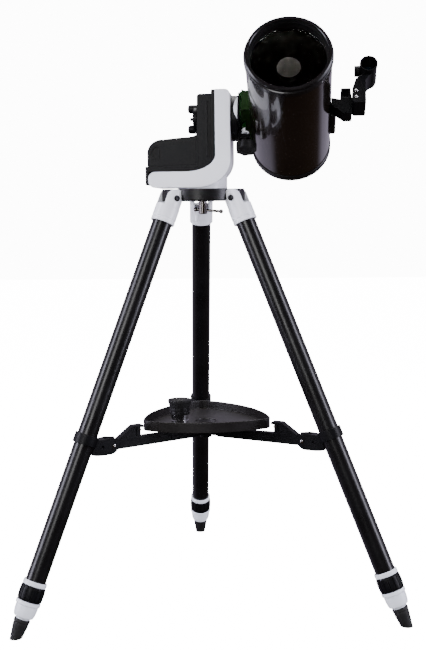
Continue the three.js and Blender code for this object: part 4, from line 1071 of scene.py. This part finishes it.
def add_front_cell():
    cell = spun("front_cell_casting", [
        (66.3, 159.6), (69.1, 159.6), (69.1, RIM), (72.4, RIM), (73, RIM + 0.6), (73, 186.4),
        (72.5, 187), (71.2, 187.4), (70.6, 188), (70.6, 192.8), (69.9, FRONT - 0.05), (65.6, FRONT - 0.05),
        (65.0, 192.8), (64.6, 186), (63.6, 185.6), (63.4, 178), (62.6, 177.6), (62.5, 171.2),
        (66.3, 171.2)], 160)
    finished(cell, TUBE, "telescope", FRONT_METAL, ["front_cell"])
    inside = spun("front_baffle_lining", [
        (62.2, 171.3), (62.45, 171.3), (62.55, 177.5), (63.3, 178.2), (63.5, 185.5), (64.5, 186.2),
        (64.9, 192.2), (64.7, 192.4), (64.2, 186.8), (63.1, 186), (62.9, 178.6), (62.1, 178)], 128)
    finished(inside, TUBE, "telescope", FLOCK)
    for name, angle in (("upper", 200), ("lower", 318), ("side", 75)):
        screw = socket_screw(f"cell_screw_{name}", 1.7, 0.7)
        turn(screw, "Y", 90)
        move(screw, 73 - 0.1, 0, 182)
        turn(screw, "Z", angle)
        finished(screw, TUBE, "telescope", STEEL)
    curve = 230
    front = FRONT - 22.7 - 0.3
    bow = sagged(66, curve)
    radii = [66 * i / 10 for i in range(11)]
    face = [(r, front - bow + sagged(r, curve)) for r in radii]
    back = [(r, z - 10) for r, z in face]
    lens = spun("corrector_meniscus", face + list(reversed(back)), 128)
    finished(lens, TUBE, "telescope", LENS, ["corrector_lens"])
    spot_front = front - bow - 10.3
    spots = [19.6 * i / 5 for i in range(6)]
    face = [(r, spot_front + sagged(r, curve)) for r in spots]
    back = [(r, z - 1.2) for r, z in face]
    spot = spun("secondary_mirror_spot", face + list(reversed(back)), 80)
    finished(spot, TUBE, "telescope", SPOT, ["secondary_spot"])
    baffle = spun("secondary_baffle", [(19.7, spot_front + 0.8), (20.5, spot_front + 0.9),
                                       (20.5, spot_front - 12), (19.9, spot_front - 12)], 80)
    finished(baffle, TUBE, "telescope", FLOCK)


def add_rear():
    cell = spun("rear_cell_casting", [
        (18.9, REAR), (40, REAR), (41, REAR + 0.8), (60, REAR + 0.8), (61, REAR), (68.6, REAR),
        (72.3, REAR + 3.6), (72.4, REAR + 5), (72.4, REAR + 17.2), (71.6, REAR + 18), (69.1, REAR + 18),
        (69.1, REAR + 24), (66, REAR + 24), (66, REAR + 7), (18.9, REAR + 7)], 160)
    hole = spun("hole", [(0, REAR - 9), (3.5, REAR - 9), (3.5, REAR + 20), (0, REAR + 20)], 32)
    move(hole, 45 * cos(radians(-45)), 45 * sin(radians(-45)))
    cut(cell, hole)
    finished(cell, TUBE, "telescope", BLACK_METAL, ["rear_cell"])
    for index, angle in enumerate((215, 335, 275, 95, 155, 35)):
        screw = socket_screw(f"rear_screw_{index}", 2.1, 0.9)
        turn(screw, "Y", 90)
        move(screw, 72.4 - 0.3 - 0.5, 0, REAR + 11)
        turn(screw, "Z", angle)
        finished(screw, TUBE, "telescope", STEEL)
    start = REAR + 0.5
    baffle = spun("baffle_tube_turned", [(17, start), (18.4, start), (18.4, start + 148),
                                         (17.9, start + 150), (17, start + 150)], 64)
    finished(baffle, TUBE, "telescope", FLOCK, ["baffle_tube"])
    curve = 620
    radii = [21 + 43 * i / 6 for i in range(7)]
    face = [(r, -45 - sagged(64, curve) + sagged(r, curve)) for r in radii]
    mirror = spun("primary_mirror_glass", face + [(64, -59), (21, -59)], 128)
    finished(mirror, TUBE, "mirror", MIRROR, ["primary_mirror"])

    back = REAR - 0.3
    ribs = spun("visual_back_turned", [
        (16.3, back), (21.6, back), (22.4, back - 0.8), (22.4, back - 5.4), (21.6, back - 6.2),
        (20.4, back - 6.8), (20.4, back - 17.4), (19.8, back - 18), (16.3, back - 18)], 96)
    finished(ribs, TUBE, "telescope", BLACK_METAL, ["visual_back"])
    screw = turn(spun("visual_back_thumbscrew", [(0, 19), (1.4, 19), (1.4, 23), (3.4, 23.4),
                                                 (3.6, 24), (3.6, 30), (3, 30.6), (0, 30.6)], 28), "Y", -90)
    move(screw, 0, 0, back - 12)
    finished(screw, TUBE, "telescope", STEEL)
    knob = slab("focus_knob_ribbed", lobed(12.5, 0.9, 24, 6), 22, False)
    dish = spun("dish", [(0, -2), (8, -2), (7, 1.2), (0, 1.2)], 40)
    cut(knob, dish)
    eased(knob, 0.5, 2)
    move(knob, 45 * cos(radians(-45)), 45 * sin(radians(-45)), back - 22)
    finished(knob, TUBE, "focus_knob", RUBBER, ["focus_knob"])
    rod = spun("focus_screw", [(0, 0), (2.9, 0), (2.9, 13.6), (0, 13.6)], 28)
    move(rod, 45 * cos(radians(-45)), 45 * sin(radians(-45)), back - 1)
    finished(rod, TUBE, "focus_knob", STEEL)


def add_diagonal():
    start = REAR - 20
    middle = start - 20
    w = 19
    side = [(-start, -w), (-start + 10, -w), (-start + 40, w - 8), (-start + 40, w), (-start, w)]
    housing = slab("diagonal_housing", side, 2 * w)
    turn(housing, "Y", 90)
    eased(housing, 1.6, 3)
    bore = turn(spun("bore", [(0, 12), (16.3, 12), (16.3, 60), (0, 60)], 64), "X", -90)
    move(bore, z=middle)
    cut(housing, bore)
    finished(housing, TUBE, "diagonal", BLACK_PLASTIC, ["star_diagonal"])
    nose = spun("diagonal_nose", [(13.4, start + 16), (15.4, start + 16), (15.9, start + 15.4),
                                  (15.9, start - 0.5), (13.4, start - 0.5)], 64)
    finished(nose, TUBE, "diagonal", CHROME)
    holder = turn(spun("diagonal_eyepiece_holder", [
        (16.3, 18.6), (19.6, 18.6), (19.6, 24), (20, 24.6), (20, 36), (19.2, 36.8), (19.2, 38),
        (20, 38.6), (20, 41.6), (19.5, 42), (16.3, 42)], 72), "X", -90)
    move(holder, z=middle)
    finished(holder, TUBE, "diagonal", BLACK_METAL)
    screw = spun("diagonal_thumbscrew", [(0, 18.4), (1.3, 18.4), (1.3, 21), (3.3, 21.4), (3.5, 22),
                                         (3.5, 27.4), (3, 28), (0, 28)], 28)
    turn(screw, "X", 180)
    move(screw, 0, 31, middle)
    finished(screw, TUBE, "diagonal", STEEL)
    lift = 42.3 - 26
    rise = Matrix.Rotation(radians(-90), 4, "X")
    place = TUBE @ Matrix.Translation(Vector((0, lift, middle)) * MM) @ rise
    add_eyepiece("working_eyepiece", place, "eyepiece", 26, "eyepiece")


# ---------------------------------------------------------------- finder
def add_finder():
    shoe_points = [(65, -13), (77.4, -13), (80, -10), (80, -7), (78.2, -6.4), (78.2, 6.4), (80, 7),
                   (80, 10), (77.4, 13), (65, 13)]
    shoe = move(slab("finder_shoe_casting", shoe_points, 58), z=-8)
    space = spun("space", [(0, -120), (71.3, -120), (71.3, 120), (0, 120)], 128)
    cut(shoe, space)
    eased(shoe, 0.6, 3)
    finished(shoe, TUBE, "telescope", BLACK_METAL, ["finder_shoe"])
    for index, at in enumerate((-26, 8)):
        screw = turn(cross_screw(f"shoe_screw_{index}", 2.6, 1.3), "Y", 90)
        move(screw, 78.1, 0, at)
        finished(screw, TUBE, "telescope", STEEL)

    arm_points = [(69, -12), (92, -30), (104, -30), (106, -28), (106, 0), (104, 20), (89, 20),
                  (87.5, 18.5), (86, -2), (69, 2)]
    arm = move(slab("finder_bracket_casting", arm_points, 28), z=45)
    space = spun("space", [(0, -20), (71.3, -20), (71.3, 120), (0, 120)], 128)
    notch = block("notch", (90, 101), (2, 16), (54, 66))
    cut(arm, space, notch)
    eased(arm, 0.9, 3)
    finished(arm, TUBE, "telescope", BLACK_PLASTIC, ["finder_bracket"])

    body_points = [(106.3, -22), (109, -25), (127, -25), (129, -23), (129, 18), (134, 26),
                   (139.8, 30.1), (126, 30.1), (118, 27), (112, 22), (106.3, 4)]
    body = move(slab("finder_body_moulding", body_points, 44), z=62)
    slit = block("slit", (126, 131), (-20, 10), (60, 64))
    cut(body, slit)
    eased(body, 1.0, 3)
    finished(body, TUBE, "finder", BLACK_PLASTIC, ["finder_body"])
    for index, up in enumerate((-2, -14)):
        screw = cross_screw(f"finder_screw_{index}", 2.6, 1.2)
        move(screw, 112.5, up, 83.9)
        finished(screw, TUBE, "finder", CHROME)
    low, high = 36, 94.5
    hood = spun("finder_hood_tube", [
        (12.3, low + 1), (13.4, low), (14.4, low + 0.8), (15.1, low + 4), (15.1, low + 22),
        (14.6, low + 22.6), (14.6, high - 9), (15.2, high - 8), (15.2, high - 0.6), (14.8, high),
        (13.4, high), (12.7, high - 1.4), (12.3, high - 6)], 72)
    move(hood, 134, 45)
    finished(hood, TUBE, "finder", BLACK_PLASTIC, ["finder_hood"])
    seat = high - 30
    lens = spun("finder_lens", [(0, seat), (12.2, seat), (12.2, seat + 1.5), (10, seat + 3.4),
                                (7, seat + 5.2), (3.5, seat + 6.3), (0, seat + 6.7)], 56)
    move(lens, 134, 45)
    finished(lens, TUBE, "finder", FINDER_LENS)
    dial = turn(slab("finder_dial", lobed(9.6, 0.7, 16, 6), 9, False), "Y", -90)
    eased(dial, 0.5, 2)
    move(dial, 119.6, 44, 72)
    finished(dial, TUBE, "finder", BLACK_PLASTIC)


# ---------------------------------------------------------------- assembly
add_tripod_head()
add_bolt()
for side in SIDES:
    add_leg(side)
    add_arm(side)
add_tray()
spare_low, spare_high = (Vector(c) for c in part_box("spare_eyepiece"))
spare_place = Matrix.Translation(Vector(((spare_low.x + spare_high.x) / 2,
                                         (spare_low.y + spare_high.y) / 2, spare_low.z)))
add_eyepiece("spare_eyepiece", spare_place, "spare", 18, "spare_eyepiece")
add_mount()
add_hub()
add_saddle()
add_dovetail()
add_tube()
add_front_cell()
add_rear()
add_diagonal()
add_finder()
deselect()
